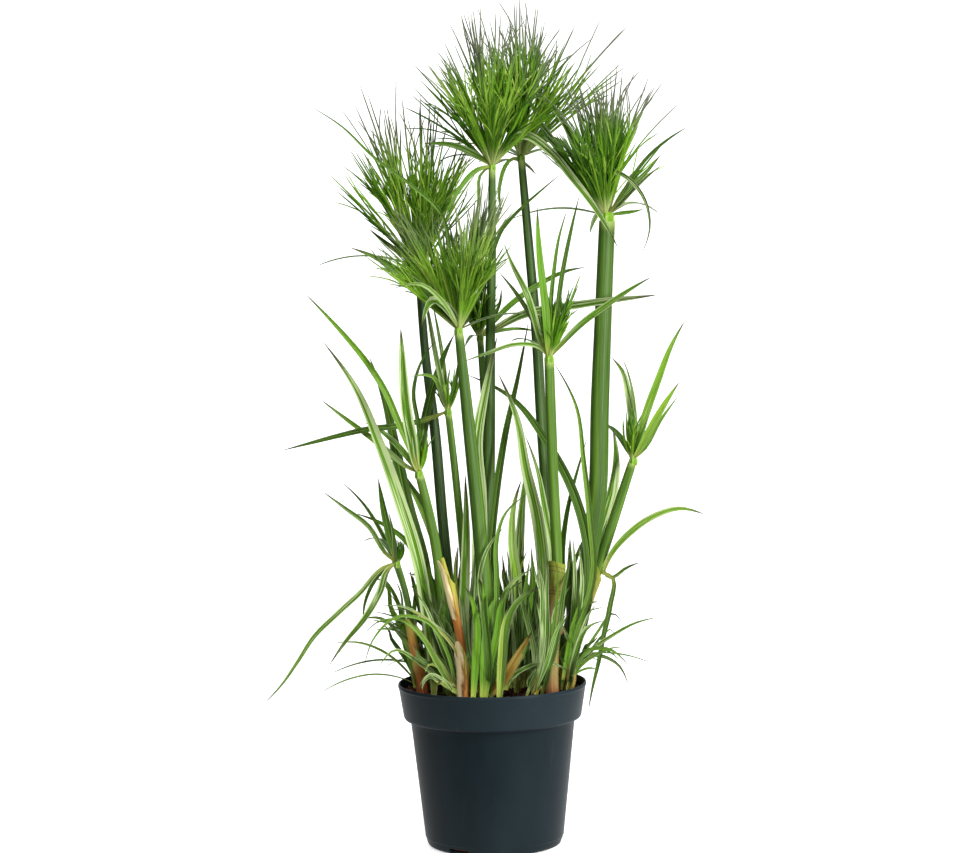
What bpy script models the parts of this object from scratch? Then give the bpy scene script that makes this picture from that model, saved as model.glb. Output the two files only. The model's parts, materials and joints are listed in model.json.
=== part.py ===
"""A potted papyrus plant: a nursery pot full of peat, eleven stems with brush-like umbels, and young leaves.

The plant is laid out on a front elevation sheet in millimetres, measured from the sheet's left and top
edges. Each point of the sheet is carried to its own depth y along the line of sight, so the plant keeps
its front view while it fills the space around the pot. Lengths in this script are in millimetres, and
meshes are in metres.
"""

import math
import random
from collections import namedtuple

import bmesh
import bpy
import numpy as np
from mathutils import Quaternion, Vector
from mathutils.bvhtree import BVHTree

MM = 0.001
GAP = 0.3  # between pieces that touch

# Pot
RIM_RADIUS = 94.5
RIM_HEIGHT = 165.0
LIP_HEIGHT = 3.0
LIP_PROUD = 0.4  # how far the lip stands out beyond the rim
BAND_FOOT_RADIUS = 89.4
BAND_FOOT_HEIGHT = 130.0
BODY_TOP_RADIUS = 83.0
BODY_TOP_HEIGHT = 128.5
BODY_FOOT_RADIUS = 68.6
FOOT_ROUNDING = 5.0
WALL = 1.8
FLOOR = 2.2
POT_SIDES = 36
DRAIN_COUNT = 3
DRAIN_AZIMUTH = math.radians(237.6)  # of the notch that shows at the front left
DRAIN_WIDTH = 23.0
DRAIN_HEIGHT = 6.5
DRAIN_DEPTH = 13.0

# Soil
SOIL_TOP = 157.0
SOIL_EDGE_DROP = 1.5
SOIL_FOOT_RADIUS = 60.0  # the peat stands on the floor inside the drain notches
SOIL_SIDES = 24
SOIL_RINGS = (22, 44, 63, 78)
LUMP_DEPTH = 3.0
LUMP_FREE = 13.0  # soil stays level within this distance of a foot

# Front elevation sheet, and the eye that sees it
SHEET_CENTRE = (485.0, 426.5)
AIM = np.array((-2.7, 0.0, 422.8))
EYE_DISTANCE = 3212.0
EYE_TILT = math.radians(4.9)
EYE_ROLL = math.radians(1.0)

# Plant
HUB_MARGIN = 1.6  # a hub's radius beyond its stem's
HUB_FLAT = 0.5  # where a hub's underside is cut flat, as a share of its radius
HUB_DETAIL = 2
CROWN_RADIUS = 5.5
CROWN_DETAIL = 1
SPARE_FACES = 9  # free faces that a limb may move to
STEM_CORNERS = 1
LEVEL_FOOT = 8.0  # a stem leaves the soil upright over this height
FULLNESS = 1.15  # a blade's true width over the width that is seen
KEEL = 0.24  # a blade's depth as a share of its width
KEEL_LEAST = 0.8
RAY_RADIUS = 0.75
RAY_ROOT = 1.3
BLADE_ROOT = 1.6
RAY_BOW = 0.03  # how far a ray's middle stands above its chord, as a share of its length
RAY_TRIALS = 6
RING_SPACING = 34.0
RING_EASE = 0.9  # below 1, a blade's rings are closer towards its tip
FIRST_RING = 8.0  # from a hub's surface to a blade's first ring
ARC_KNOTS = 5
DROOP_POWER = 2.4
DROOP_REACH = 0.5  # how far a leaf goes out as it droops, as a share of the droop
TURN_STEP = 0.6  # degrees of azimuth to a millimetre of a depth trial
CLIMB_STEP = 0.4
RAY_DEPTHS = 0.25  # how far behind or before its hub a given tip may lie, as a share of the reach
RAY_RISE = 4.0  # how far a ray's middle follows the face that it leaves
HUB_HORIZON = math.radians(85)  # the lowest face that rays leave, from the brush's axis
SHORTER_SIDES = 0.3  # how much shorter the outermost rays are
CLEARANCE = 0.7
FLATNESS = 0.35  # how far a blade's half width counts above the pot and the soil
WALL_SLACK = 2.0
TRIM = 6.0  # limbs of one hub may touch this close to it
LEAF_FOOT = 3.0
STEM_SPACING = 75.0
SHEATH_SIDES = 6
SHEATH_WALL = 0.9
SHEATH_FOOT = 1.6  # a sheath's wall at its foot, over its wall's change to the top
SHEATH_SHOULDER = 7.0  # height of the band that a sheath's leaves grow from
SHEATH_CLEARANCE = 0.7
SHEATH_MARGIN = 3.2  # a sheath's outside beyond its stem's radius
LOWEST_BRACT = -0.45  # height of the lowest face that a bract grows from, on a hub of radius 1
LOWEST_SHOOT = -0.3

Stem = namedtuple("Stem", "name foot hub depth route")
Blade = namedtuple("Blade", "route width depth look", defaults=("leaf",))
Leaf = namedtuple("Leaf", "name foot route width depth look", defaults=("leaf",))
Umbel = namedtuple("Umbel", "reach spread lean tips bracts back")
Tuft = namedtuple("Tuft", "name foot blades")
Sheath = namedtuple("Sheath", "name stem top blades")
Arc = namedtuple("Arc", "azimuth climb length droop width look", defaults=("leaf",))
Limb = namedtuple("Limb", "points widths face look start root")
Hub = namedtuple("Hub", "centre radius turn detail free")

# Stems: foot is x and y on the soil, hub is on the sheet, depth is the hub's y, and each point of the
# route, from the hub down, is a place on the sheet with the stem's width there.
STEMS = (
    Stem("stem_1", (-9, 0), (492, 166), 4, (
        (492.5, 175, 6.5), (492, 215, 7.7), (491, 300, 9), (490, 350, 9), (489, 415, 11.5),
        (488, 468, 12.5), (487, 540, 13))),
    Stem("stem_2", (50, 24), (521, 157), 40, (
        (523, 180, 7), (526, 220, 7.6), (530, 257, 9), (534, 301, 9), (537, 346, 10), (540, 397, 10),
        (542, 441, 10), (545, 490, 9), (548, 550, 9))),
    Stem("stem_3", (70, 10), (607, 216), -4, (
        (605, 250, 15), (603, 315, 16), (598, 450, 18), (597, 487, 18), (596, 530, 16))),
    Stem("stem_4", (-7, -42), (458.5, 330), -46, (
        (460, 352, 8), (463, 378, 9), (467, 410, 11), (470, 442, 12), (473, 470, 12.5), (477, 507, 13),
        (481, 540, 13))),
    Stem("stem_5", (3, 24), (480, 337), 18, (
        (481, 345, 6), (482, 378, 7), (484, 400, 7), (488, 540, 8))),
    Stem("stem_6", (59, -38), (549, 358), -52, (
        (551.5, 400, 9), (552, 430, 9.5), (553, 478, 10), (555, 516, 10), (557, 560, 10))),
    Stem("stem_7", (-27, 12), (448, 411), -10, (
        (451, 440, 6.5), (455, 475, 7), (459, 510, 7), (463, 545, 7))),
    Stem("stem_8", (-45, -20), (419, 473), -34, (
        (423, 485, 8), (427, 497, 9), (432, 525, 9), (437, 556, 9.5))),
    Stem("stem_9", (73, 36), (633, 460), 14, (
        (629, 472, 8), (625, 485, 9), (617, 510, 9.5), (607, 540, 10), (601, 565, 10))),
    Stem("stem_10", (-36, 34), (419, 268), 58, (
        (422, 310, 8), (424, 340, 8), (430, 400, 9), (436, 440, 10), (440, 490, 10), (444, 540, 10))),
    Stem("stem_11", (-70, -16), (397, 563), -28, (
        (399, 572, 5.5), (407, 598, 6), (410, 631, 6.5), (416, 655, 7))),
)

# Umbels, one to a stem. Reach is the length of the longest rays, spread the angle they open to either
# side, lean the brush's tilt to the right. Tips are ends of rays on the sheet. A bract's depth is how far
# its tip lies behind the hub. Back holds bracts on the far side.
UMBELS = (
    Umbel(168, 54, -4, (
        (400, 105), (410, 60), (422, 41.5), (434, 58), (460, 12), (472, 2), (487, -3), (501, 8), (517, 20)), (
        Blade(((469, 151), (455, 145.5), (440, 144), (423, 143.5)), 5, -20),
        Blade(((485, 166), (475, 174), (463.6, 186), (453, 198), (445, 220)), 7, -36),
        Blade(((483, 171), (479, 186), (478, 205), (474, 224)), 3, -22),
        Blade(((499, 151), (505, 140), (513, 133.5), (524, 135), (536, 139), (549, 150), (561, 164),
               (576, 182), (590, 200.6), (603, 220), (619, 250)), 6.5, -48, "striped")),
        (Arc(70, 14, 120, 40, 6), Arc(118, 20, 110, 34, 5.5, "striped"))),
    Umbel(170, 50, 14, (
        (539, -1), (546, 16), (569, 9), (573, 19), (606, 16), (628, 24), (593, 40), (609, 50)), (
        Blade(((510, 160), (502, 170), (499.5, 186), (499.5, 202), (502, 217)), 5.5, -14, "striped"),
        Blade(((534, 142), (546, 138), (567, 146), (576, 159)), 5, 14)),
        (Arc(60, 16, 115, 38, 6, "striped"), Arc(112, 12, 125, 44, 6), Arc(150, 24, 100, 30, 5))),
    Umbel(156, 46, 6, (
        (561, 88), (570, 80), (592, 78), (606, 68), (623.5, 85), (642, 93), (651, 70.5), (663, 99.5),
        (687, 78), (683, 109.5), (674, 122)), (
        Blade(((590, 190), (578, 152), (565, 125), (550, 104), (537, 95), (524, 91.5), (508, 95)), 5.5, 26),
        Blade(((592, 200), (576, 178), (557, 145), (545, 131), (535, 112), (526, 92)), 6, -22),
        Blade(((614, 207), (629, 182), (643, 162.5), (659, 146), (676, 134), (691, 125)), 5.5, -26),
        Blade(((622, 198), (636, 182), (649, 169), (662, 153)), 4, 22),
        Blade(((623, 201), (641, 182), (663, 164)), 3, -44),
        Blade(((597, 196), (590, 182), (592, 170), (605, 166), (626, 177), (637, 187), (646, 203),
               (650, 221), (648, 237), (641, 255)), 3.5, -60, "striped"),
        Blade(((614, 214), (631, 212), (644, 209)), 3, -12)),
        (Arc(64, 20, 120, 42, 6, "striped"), Arc(96, 10, 110, 40, 6), Arc(140, 22, 110, 36, 5))),
    Umbel(158, 48, -14, (
        (344, 187), (343.5, 195), (346, 202), (357, 180), (370, 174), (376, 180), (380, 250), (390, 247),
        (368, 228), (500, 180), (430, 172), (462, 168)), (
        Blade(((453, 313), (446, 299), (438, 297), (430, 303), (425.5, 310), (421, 328)), 7, -34, "striped"),
        Blade(((440, 309), (428, 293), (410, 278), (386, 264), (367, 253), (348.5, 247)), 6, -20),
        Blade(((444, 303), (424, 286), (406, 281), (392, 289)), 3.5, -46),
        Blade(((472, 307), (484, 282), (492, 255), (500, 233), (517, 212), (532, 199), (545, 187),
               (563, 172)), 5.5, -12, "striped"),
        Blade(((455, 300), (452, 270), (445, 225), (437, 205), (417, 189), (398, 176), (371, 154.6),
               (348, 131), (334, 121.6), (318, 113), (306, 104)), 5, 12)),
        (Arc(75, 18, 110, 36, 6), Arc(30, 24, 90, 26, 5))),
    Umbel(64, 28, 8, (
        (477, 278), (485, 275), (495, 284)), (
        Blade(((474, 324), (471, 317), (469, 308)), 4, -8, "striped"),
        Blade(((488, 333), (497, 326), (516, 317), (535, 311), (560, 307.5), (596, 302), (631, 298),
               (659.5, 294.6)), 6.5, -56),
        Blade(((496, 319), (510, 305), (523, 295), (545, 281), (562, 272.5), (587, 267)), 4.5, -8),
        Blade(((488, 328), (495, 316), (500, 302), (501, 287)), 3, -14)),
        (Arc(100, 24, 80, 24, 4.5), Arc(60, 30, 70, 20, 4))),
    Umbel(76, 26, 2, (
        (541, 287), (555, 284), (580, 281), (573, 314)), (
        Blade(((537, 331), (532, 307), (523, 285), (511, 262), (503.5, 242)), 6, -20, "striped"),
        Blade(((540, 335), (529, 313), (516, 293), (498, 271)), 4, 16),
        Blade(((547, 335), (546, 310), (541, 270), (538, 230), (537.4, 205.5)), 7, -10),
        Blade(((551, 335), (551, 295), (555, 263), (559, 237), (562.5, 218), (567.6, 208)), 3.5, 14),
        Blade(((553, 340), (556, 320), (561, 282), (570, 235), (580, 193)), 4, -4),
        Blade(((566, 339), (580, 325), (597, 311), (612, 302), (632, 288), (653, 276)), 5, -26),
        Blade(((536, 345), (519, 344), (500, 348), (478, 357), (462, 362)), 3.5, -18, "striped")),
        (Arc(80, 34, 100, 30, 5), Arc(120, 26, 95, 30, 4.5))),
    Umbel(50, 20, 2, (
        (449, 362), (444, 370), (456, 372)), (
        Blade(((444, 390), (440, 375), (433, 340), (428, 312), (424, 290)), 4, -12, "striped"),
        Blade(((446, 390), (442, 352), (438, 330), (432, 300)), 3.5, 12),
        Blade(((452, 396), (455, 385), (458, 360)), 4, -10),
        Blade(((436, 416), (404, 425), (382, 427), (358, 431), (326, 439), (280, 451)), 4.5, -36),
        Blade(((440, 394), (432, 376), (420, 371), (408, 377)), 3, -20)),
        (Arc(95, 40, 90, 24, 5),)),
    Umbel(44, 22, -4, (
        (414, 430), (428, 432)), (
        Blade(((404.5, 436), (392, 408), (382, 385), (361, 355), (338, 328), (303.5, 292)), 5, -12),
        Blade(((406, 466), (395, 458), (376, 441), (358, 428), (319.6, 398.7)), 4.5, 16),
        Blade(((414, 455), (412, 440), (405, 400), (402.5, 360), (400.7, 327)), 9, -16, "striped"),
        Blade(((421, 440), (416, 413), (413.5, 392), (417, 372), (424, 357), (436, 340)), 3.5, 10),
        Blade(((422, 450), (424, 425), (430, 398), (443, 358), (455, 333)), 7, -24)),
        (Arc(100, 48, 110, 24, 6),)),
    Umbel(68, 22, 10, (
        (650, 387), (664, 398), (638, 412), (643, 402)), (
        Blade(((638, 440), (643, 422), (652, 397), (661, 372), (672, 344), (685.6, 319.5)), 6, -8),
        Blade(((643, 444), (652, 426), (662, 408), (672, 393), (680, 381)), 6, -24),
        Blade(((645, 448), (657, 426), (668, 409), (679, 395)), 3, 16),
        Blade(((633, 440), (631, 409), (626, 385), (620, 366), (611, 357)), 6, -14, "striped"),
        Blade(((636, 436), (633, 394), (628, 372), (622.5, 358)), 4, 12)),
        (Arc(90, 40, 90, 24, 5),)),
    Umbel(172, 46, -10, (
        (357, 77), (385.7, 105.5), (377, 126), (401, 89.5), (420.5, 90), (375, 133), (348, 150),
        (344.6, 166), (440, 100)), (
        Blade(((405, 256), (390, 246), (368, 228)), 4, 12),),
        (Arc(60, 16, 120, 40, 6), Arc(100, 12, 130, 46, 6, "striped"), Arc(145, 20, 120, 40, 5.5))),
    Umbel(30, 20, 0, (
        (395, 530), (400, 532)), (
        Blade(((391.6, 544), (384, 512), (378, 477)), 6, -6),
        Blade(((394, 548), (393.5, 535), (388, 510)), 4, -16, "striped"),
        Blade(((388, 556), (382, 542), (365, 523), (342, 506), (322, 491)), 4, 12),
        Blade(((386, 566), (372, 579), (357, 596), (336, 615), (313, 638), (302, 655), (284, 682),
               (261.5, 706)), 7, -46),
        Blade(((389, 568), (382, 586), (374, 604), (361, 623), (342, 646), (328, 667)), 6, -62, "striped"),
        Blade(((385, 568), (373, 583), (365, 602), (363, 617), (363, 627)), 4, 22)),
        (Arc(110, 30, 100, 40, 5),)),
)

# Leaves that rise from the soil on their own. Depth is the tip's y.
LEAVES = (
    Leaf("leaf_left_striped", (-58, -34), ((428, 620), (418, 560), (403, 510), (391.6, 477), (382, 450),
         (369, 418), (351, 379), (338.6, 358), (321.7, 340)), 8, -44, "striped"),
    Leaf("leaf_left_broad", (-60, 4), ((430, 620), (422, 560), (412, 525), (400, 470), (390, 425), (381, 385),
         (368.7, 355)), 9, 24),
    Leaf("leaf_left_dark", (-50, 16), ((440, 600), (432, 520), (419, 498), (405, 477), (384, 449)), 5, 34),
    Leaf("leaf_left_low", (-62, -4), ((424, 610), (412, 548), (390, 529), (372, 518), (352, 512.5)), 5, -8),
    Leaf("leaf_middle_folded", (-15, -22), ((478, 600), (480, 530), (479, 470), (477, 440), (480, 408),
         (487, 384), (496, 362), (501, 343), (498, 333)), 8, -24, "striped"),
    Leaf("leaf_middle_pale", (-24, -40), ((464, 620), (466, 545), (466, 500), (465, 472)), 6, -40, "striped"),
    Leaf("leaf_middle_dark", (7, -22), ((490, 600), (490, 560), (494, 510), (501, 460), (510, 410),
         (519, 372), (529, 318)), 5.5, -12),
    Leaf("leaf_middle_short", (24, -26), ((517, 620), (516, 570), (511.5, 530), (514, 505),
         (522, 478)), 7, -20),
    Leaf("leaf_right_striped", (42, -22), ((545, 600), (541, 545), (537, 516), (530, 487), (523, 455),
         (519, 430), (512, 400), (497, 371)), 8, -34, "striped"),
    Leaf("leaf_right_edged", (50, -10), ((556, 610), (553, 555), (546, 515), (540, 480), (532, 452),
         (524, 432)), 6, -6, "striped"),
    Leaf("leaf_right_long", (68, -14), ((584, 620), (588, 550), (580, 513), (570, 483), (556, 456),
         (540, 433), (523, 409), (508, 395), (490, 384), (464, 373.5)), 6.5, 28),
    Leaf("leaf_right_thin", (62, 28), ((562, 600), (564, 530), (572, 490), (579, 465), (588, 435)), 4, 40),
    Leaf("leaf_right_bent", (56, 4), ((580, 620), (595, 560), (587, 500), (583, 455), (579, 416), (566, 383),
         (552, 360)), 4.5, 16),
)

# Tufts of young leaves on one crown. A blade's depth is how far its tip lies behind the crown.
TUFTS = (
    Tuft("tuft_front", (-5, -64), (
        Blade(((476, 655), (477, 622), (471, 603)), 8, -4),
        Blade(((488, 655), (484, 617), (481, 583), (476, 574)), 9, 10),
        Blade(((470, 660), (466, 625), (463, 596)), 5, 8, "striped"),
        Blade(((501, 655), (505.8, 629), (511.6, 611), (520, 599), (532, 590),
               (539, 587)), 9, -10, "striped"),
        Blade(((498, 650), (500, 620), (497, 600)), 5, 16),
        Blade(((495, 640), (497, 570), (499, 526), (511, 506), (527, 494)), 6, 22),
        Blade(((508, 684), (518, 672.5), (530, 666), (541, 663), (553, 663), (569, 670.5)), 4, 6, "striped"),
        Blade(((506, 678), (516, 660), (523, 648.5), (530, 636), (532, 631)), 10, -6, "dry"),
        Blade(((482, 650), (480, 600), (475, 558)), 6, 14),
        Blade(((492, 650), (496, 600), (503, 560)), 6, 2, "striped"))),
    Tuft("tuft_left", (-37, -56), (
        Blade(((460, 655), (450, 638), (433, 624), (416, 612), (399, 605.5),
               (378, 606)), 3.5, -26, "striped"),
        Blade(((455, 665), (445, 650), (431, 620)), 5, -10, "striped"),
        Blade(((447, 675), (430, 650), (415, 622)), 7, 2),
        Blade(((446, 650), (425, 620), (409, 613), (395, 618), (382, 628.5), (370.5, 644),
               (364, 669)), 3.5, -34),
        Blade(((436, 650), (418, 616), (400, 608), (380, 615)), 3, 14),
        Blade(((432, 655), (410, 624), (392, 618), (376, 623), (362, 638)), 3.5, -12),
        Blade(((425, 668), (402, 650), (388, 652), (378, 668)), 4, -20),
        Blade(((441, 678), (432, 673), (423, 680), (416, 692)), 3, -14, "striped"),
        Blade(((450, 650), (445, 600), (437, 560)), 6, 8),
        Blade(((440, 655), (431, 610), (420, 570)), 6, -4, "striped"),
        Blade(((455, 640), (458, 590), (462, 552)), 5, 12))),
    Tuft("tuft_middle", (40, -60), (
        Blade(((545, 650), (543, 617), (541, 577), (535.5, 556)), 7, 4, "striped"),
        Blade(((547, 640), (547, 607), (547, 579), (548, 556)), 5, 14, "striped"),
        Blade(((540, 645), (537, 617), (533, 592)), 5, -6),
        Blade(((548, 645), (550, 607), (554, 584)), 5, -12, "striped"),
        Blade(((551, 650), (556.5, 631), (568, 612)), 6, -6),
        Blade(((553, 655), (556, 607), (569, 586)), 5, 20),
        Blade(((556, 645), (562, 600), (572, 552)), 6, 10, "striped"),
        Blade(((534, 650), (524, 610), (516, 575)), 6, 4),
        Blade(((560, 650), (572, 615), (590, 590)), 5, -6))),
    Tuft("tuft_right", (77, -20), (
        Blade(((585, 655), (598.5, 646), (613, 635), (630, 625), (645, 620), (659.5, 617)), 4, -10),
        Blade(((587, 650), (598.5, 645.5), (611, 650), (622.5, 659), (629.6, 667)), 4, -26),
        Blade(((588, 656), (598.5, 655), (611, 658), (621, 669), (629, 687)), 4, 10),
        Blade(((577, 650), (582, 633), (591, 626), (605, 620.5)), 7, -12, "striped"),
        Blade(((592, 640), (602, 626), (610, 615), (619, 612), (624, 617), (623.5, 624)), 3.5, 14),
        Blade(((571, 655), (568, 640), (560, 622)), 4, -14),
        Blade(((575, 645), (579, 612), (588, 596), (598, 600), (608, 610), (613, 618)), 4, 4, "striped"),
        Blade(((576, 668), (583, 657), (595, 649.5)), 4, -30),
        Blade(((580, 640), (583, 600), (584, 560)), 6, 6),
        Blade(((590, 640), (600, 600), (604, 570)), 5, -8, "striped"))),
    Tuft("tuft_core_left", (-33, -6), (
        Blade(((437, 640), (428, 610), (408, 582)), 6, 6),
        Blade(((449, 640), (450, 600), (446, 568)), 7, -10, "striped"),
        Blade(((455, 640), (462, 600), (470, 560)), 6, 8),
        Blade(((436, 650), (418, 630), (398, 622), (386, 630)), 5, -8),
        Blade(((452, 630), (456, 580), (458, 545)), 6, -14),
        Blade(((462, 640), (478, 600), (488, 560)), 6, -8, "striped"),
        Blade(((440, 630), (432, 585), (424, 548)), 6, -18),
        Arc(150, 80, 120, 24, 6))),
    Tuft("tuft_core_right", (26, 2), (
        Blade(((515, 640), (509, 600), (506, 566)), 7, -8, "striped"),
        Blade(((524, 640), (530, 600), (531, 562)), 6, 10),
        Blade(((522, 630), (524, 590), (520, 548)), 6, -12),
        Blade(((528, 650), (545, 620), (560, 606)), 5, -6, "striped"),
        Blade(((535, 630), (542, 590), (548, 548)), 6, -16),
        Blade(((512, 630), (500, 590), (494, 548)), 6, -4, "striped"),
        Blade(((538, 632), (551, 592), (560, 560)), 6, 22),
        Arc(100, 78, 130, 26, 6), Arc(62, 72, 120, 30, 6))),
    Tuft("tuft_side_left", (-74, 14), (
        Blade(((412, 650), (404, 620), (392, 590), (374, 568)), 6, 20, "striped"),
        Blade(((411, 655), (398, 632), (380, 618), (358, 620)), 4.5, 34),
        Blade(((416, 650), (414, 610), (418, 578)), 6, 24),
        Arc(165, 60, 110, 46, 6), Arc(140, 66, 130, 40, 6, "striped"), Arc(190, 44, 90, 50, 5))),
    Tuft("tuft_back_left", (-48, 52), (
        Arc(150, 62, 130, 50, 7), Arc(120, 70, 170, 50, 8, "striped"), Arc(88, 58, 120, 50, 6),
        Arc(178, 52, 110, 56, 6, "striped"), Arc(104, 40, 90, 50, 5), Arc(205, 68, 150, 40, 7))),
    Tuft("tuft_back_middle", (4, 66), (
        Arc(90, 66, 150, 54, 8), Arc(62, 58, 120, 50, 6, "striped"), Arc(118, 56, 125, 52, 7),
        Arc(40, 72, 160, 44, 7), Arc(140, 74, 165, 42, 6, "striped"), Arc(90, 42, 100, 60, 5))),
    Tuft("tuft_back_right", (44, 56), (
        Arc(30, 62, 130, 50, 7, "striped"), Arc(62, 70, 165, 46, 8), Arc(92, 58, 120, 50, 6),
        Arc(8, 52, 115, 56, 5), Arc(48, 44, 100, 60, 5, "striped"), Arc(110, 76, 150, 36, 6))),
)

# Tall leaves of the far side, as arcs from the soil: azimuth, climb, length, droop and width.
BACK_LEAVES = (
    ("leaf_back_1", (-66, 28), Arc(165, 70, 300, 90, 7, "striped")),
    ("leaf_back_2", (-18, 58), Arc(112, 76, 330, 80, 7)),
    ("leaf_back_3", (24, 52), Arc(80, 74, 310, 90, 7, "striped")),
    ("leaf_back_4", (64, 52), Arc(38, 68, 280, 100, 6)),
    ("leaf_back_5", (-20, 34), Arc(70, 80, 300, 50, 6)),
)

# Sheaths around the feet of stems, with the leaves that they end in.
SHEATHS = (
    Sheath("sheath_left", "stem_11", (407, 619), ()),
    Sheath("sheath_middle", "stem_6", (557, 560), ()),
    Sheath("sheath_right", "stem_9", (602, 566), (
        Blade(((597, 546), (606, 514), (613, 490), (616, 455), (613, 428)), 6, -26, "dry"),
        Blade(((619, 548), (632, 530), (648, 519), (669, 511), (691, 508), (706, 515)), 5.5, -30),
        Blade(((612, 578), (611, 600), (606, 624), (601, 648), (597, 670), (592, 690), (588, 713)), 4, -56),
        Blade(((611, 578), (624, 569), (641, 562)), 3, -14))),
)
OLD_SHOOT = Stem("old_shoot", (-29, -66), (442, 558), -52, (
    (443, 566, 5), (447, 585, 9), (452, 600, 10), (456, 630, 11), (463, 655, 11)))

COLOURS = {
    "pot": (0.030, 0.042, 0.052, 1),
    "soil": (0.040, 0.018, 0.012, 1),
    "stem": (0.060, 0.130, 0.030, 1),
    "leaf": (0.120, 0.300, 0.030, 1),
    "striped": (0.380, 0.480, 0.160, 1),
    "umbel": (0.090, 0.240, 0.030, 1),
    "dry": (0.420, 0.190, 0.050, 1),
}
ROUGHNESS = {"pot": 0.42, "soil": 0.95}


# Layout

def sight_axes():
    """The sheet's right and up directions in space, and the direction of sight."""
    level = np.array((1.0, 0.0, 0.0))
    rise = np.array((0.0, math.sin(EYE_TILT), math.cos(EYE_TILT)))
    right = math.cos(EYE_ROLL) * level - math.sin(EYE_ROLL) * rise
    up = math.sin(EYE_ROLL) * level + math.cos(EYE_ROLL) * rise
    ahead = np.array((0.0, math.cos(EYE_TILT), -math.sin(EYE_TILT)))
    return right, up, ahead


RIGHT, UP, AHEAD = sight_axes()
EYE = AIM - AHEAD * EYE_DISTANCE


def seen(place, depth):
    """The point at y = depth that the eye sees at a place on the sheet."""
    on_sheet = AIM + RIGHT * (place[0] - SHEET_CENTRE[0]) + UP * (SHEET_CENTRE[1] - place[1])
    sight = on_sheet - EYE
    return EYE + sight * (depth - EYE[1]) / sight[1]


def sheet_place(point):
    """Where the eye sees a point, on the sheet."""
    sight = point - EYE
    on_sheet = sight * EYE_DISTANCE / (sight @ AHEAD)
    return np.array((SHEET_CENTRE[0] + on_sheet @ RIGHT, SHEET_CENTRE[1] - on_sheet @ UP))


def along(knots, places):
    """Points of a smooth curve through the knots, at places from 0 to 1 of its length."""
    knots = np.array(knots, dtype=float)
    steps = np.linalg.norm(np.diff(knots, axis=0), axis=1)
    reached = np.concatenate(([0.0], np.cumsum(steps)))
    slopes = np.diff(knots, axis=0) / steps[:, None]
    before, after = steps[:-1, None], steps[1:, None]
    inner = (slopes[:-1] * after + slopes[1:] * before) / (before + after)
    first = slopes[0] if len(inner) == 0 else 1.5 * slopes[0] - 0.5 * inner[0]
    last = slopes[-1] if len(inner) == 0 else 1.5 * slopes[-1] - 0.5 * inner[-1]
    tangents = np.vstack((first[None], inner, last[None]))
    at = np.clip(np.asarray(places, dtype=float), 0, 1) * reached[-1]
    cell = np.clip(np.searchsorted(reached, at, side="right") - 1, 0, len(steps) - 1)
    span = steps[cell][:, None]
    part = (at - reached[cell])[:, None] / span
    return (
        knots[cell] * (1 + 2 * part) * (1 - part) ** 2
        + knots[cell + 1] * part ** 2 * (3 - 2 * part)
        + tangents[cell] * span * part * (1 - part) ** 2
        - tangents[cell + 1] * span * part ** 2 * (1 - part)
    )


def path_length(knots):
    """Length of the straight runs between knots."""
    return float(np.linalg.norm(np.diff(np.array(knots, dtype=float), axis=0), axis=1).sum())


def blade_width(width, place):
    """A blade's width at a place from 0, its root, to 1, its tip."""
    return width * FULLNESS * min(1.0, 0.5 + 2.2 * place) * (1 - place ** 3)


class Space:
    """What is already placed, as segments with radii, so that new pieces stay clear of it."""

    def __init__(self):
        self.owners = []
        self.starts = []
        self.ends = []
        self.radii = []
        self.trimmed = []

    def add(self, owner, points, radii, own_root=False):
        """Adds a row of segments. Those near an own root are left out of tests within the owner."""
        for index in range(len(points) - 1):
            start, end = points[index], points[index + 1]
            if own_root and index == 0:
                reach = max(np.linalg.norm(end - start), 1e-6)
                middle = start + (end - start) * min(0.98, TRIM / reach)
                self.add_one(owner, start, middle, radii[0], True)
                self.add_one(owner, middle, end, max(radii[0], radii[1]), False)
            else:
                self.add_one(owner, start, end, max(radii[index], radii[index + 1]), False)

    def add_one(self, owner, start, end, radius, near_root):
        self.owners.append(owner)
        self.starts.append(start)
        self.ends.append(end)
        self.radii.append(radius)
        self.trimmed.append(near_root)

    def gap(self, owner, points, radii):
        """The least distance between a new row of segments and what is placed, past their radii."""
        if not self.owners:
            return math.inf
        starts, ends = np.array(points[:-1]), np.array(points[1:])
        lead = ends[0] - starts[0]
        reach = max(np.linalg.norm(lead), 1e-6)
        own_starts = starts.copy()
        own_starts[0] = starts[0] + lead * min(0.98, TRIM / reach)
        wide = np.maximum(radii[:-1], radii[1:])
        owners = np.array(self.owners)
        placed = np.array(self.radii)
        low, high = np.array(self.starts), np.array(self.ends)
        other = owners != owner
        own = ~other & ~np.array(self.trimmed)
        least = pot_gap(own_starts, ends, wide)
        for chosen, begin in ((other, starts), (own, own_starts)):
            if chosen.any():
                apart = segment_distances(begin, ends, low[chosen], high[chosen])
                least = min(least, float((apart - wide[:, None] - placed[chosen][None]).min()))
        return least


def pot_gap(starts, ends, wide):
    """The least distance from segments to the pot and the soil, past their radii."""
    shares = np.linspace(0, 1, 6)[None, :, None]
    points = starts[:, None] + (ends - starts)[:, None] * shares
    out = np.hypot(points[..., 0], points[..., 1])
    height = points[..., 2]
    from_wall = RIM_RADIUS - WALL - WALL_SLACK - out
    inside = np.minimum(height - SOIL_TOP, np.maximum(from_wall, height - RIM_HEIGHT))
    outside = np.maximum(out - RIM_RADIUS - LIP_PROUD, height - RIM_HEIGHT)
    gaps = np.where(out < RIM_RADIUS - WALL / 2, inside, outside)
    return float((gaps - FLATNESS * wide[:, None]).min())


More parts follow.
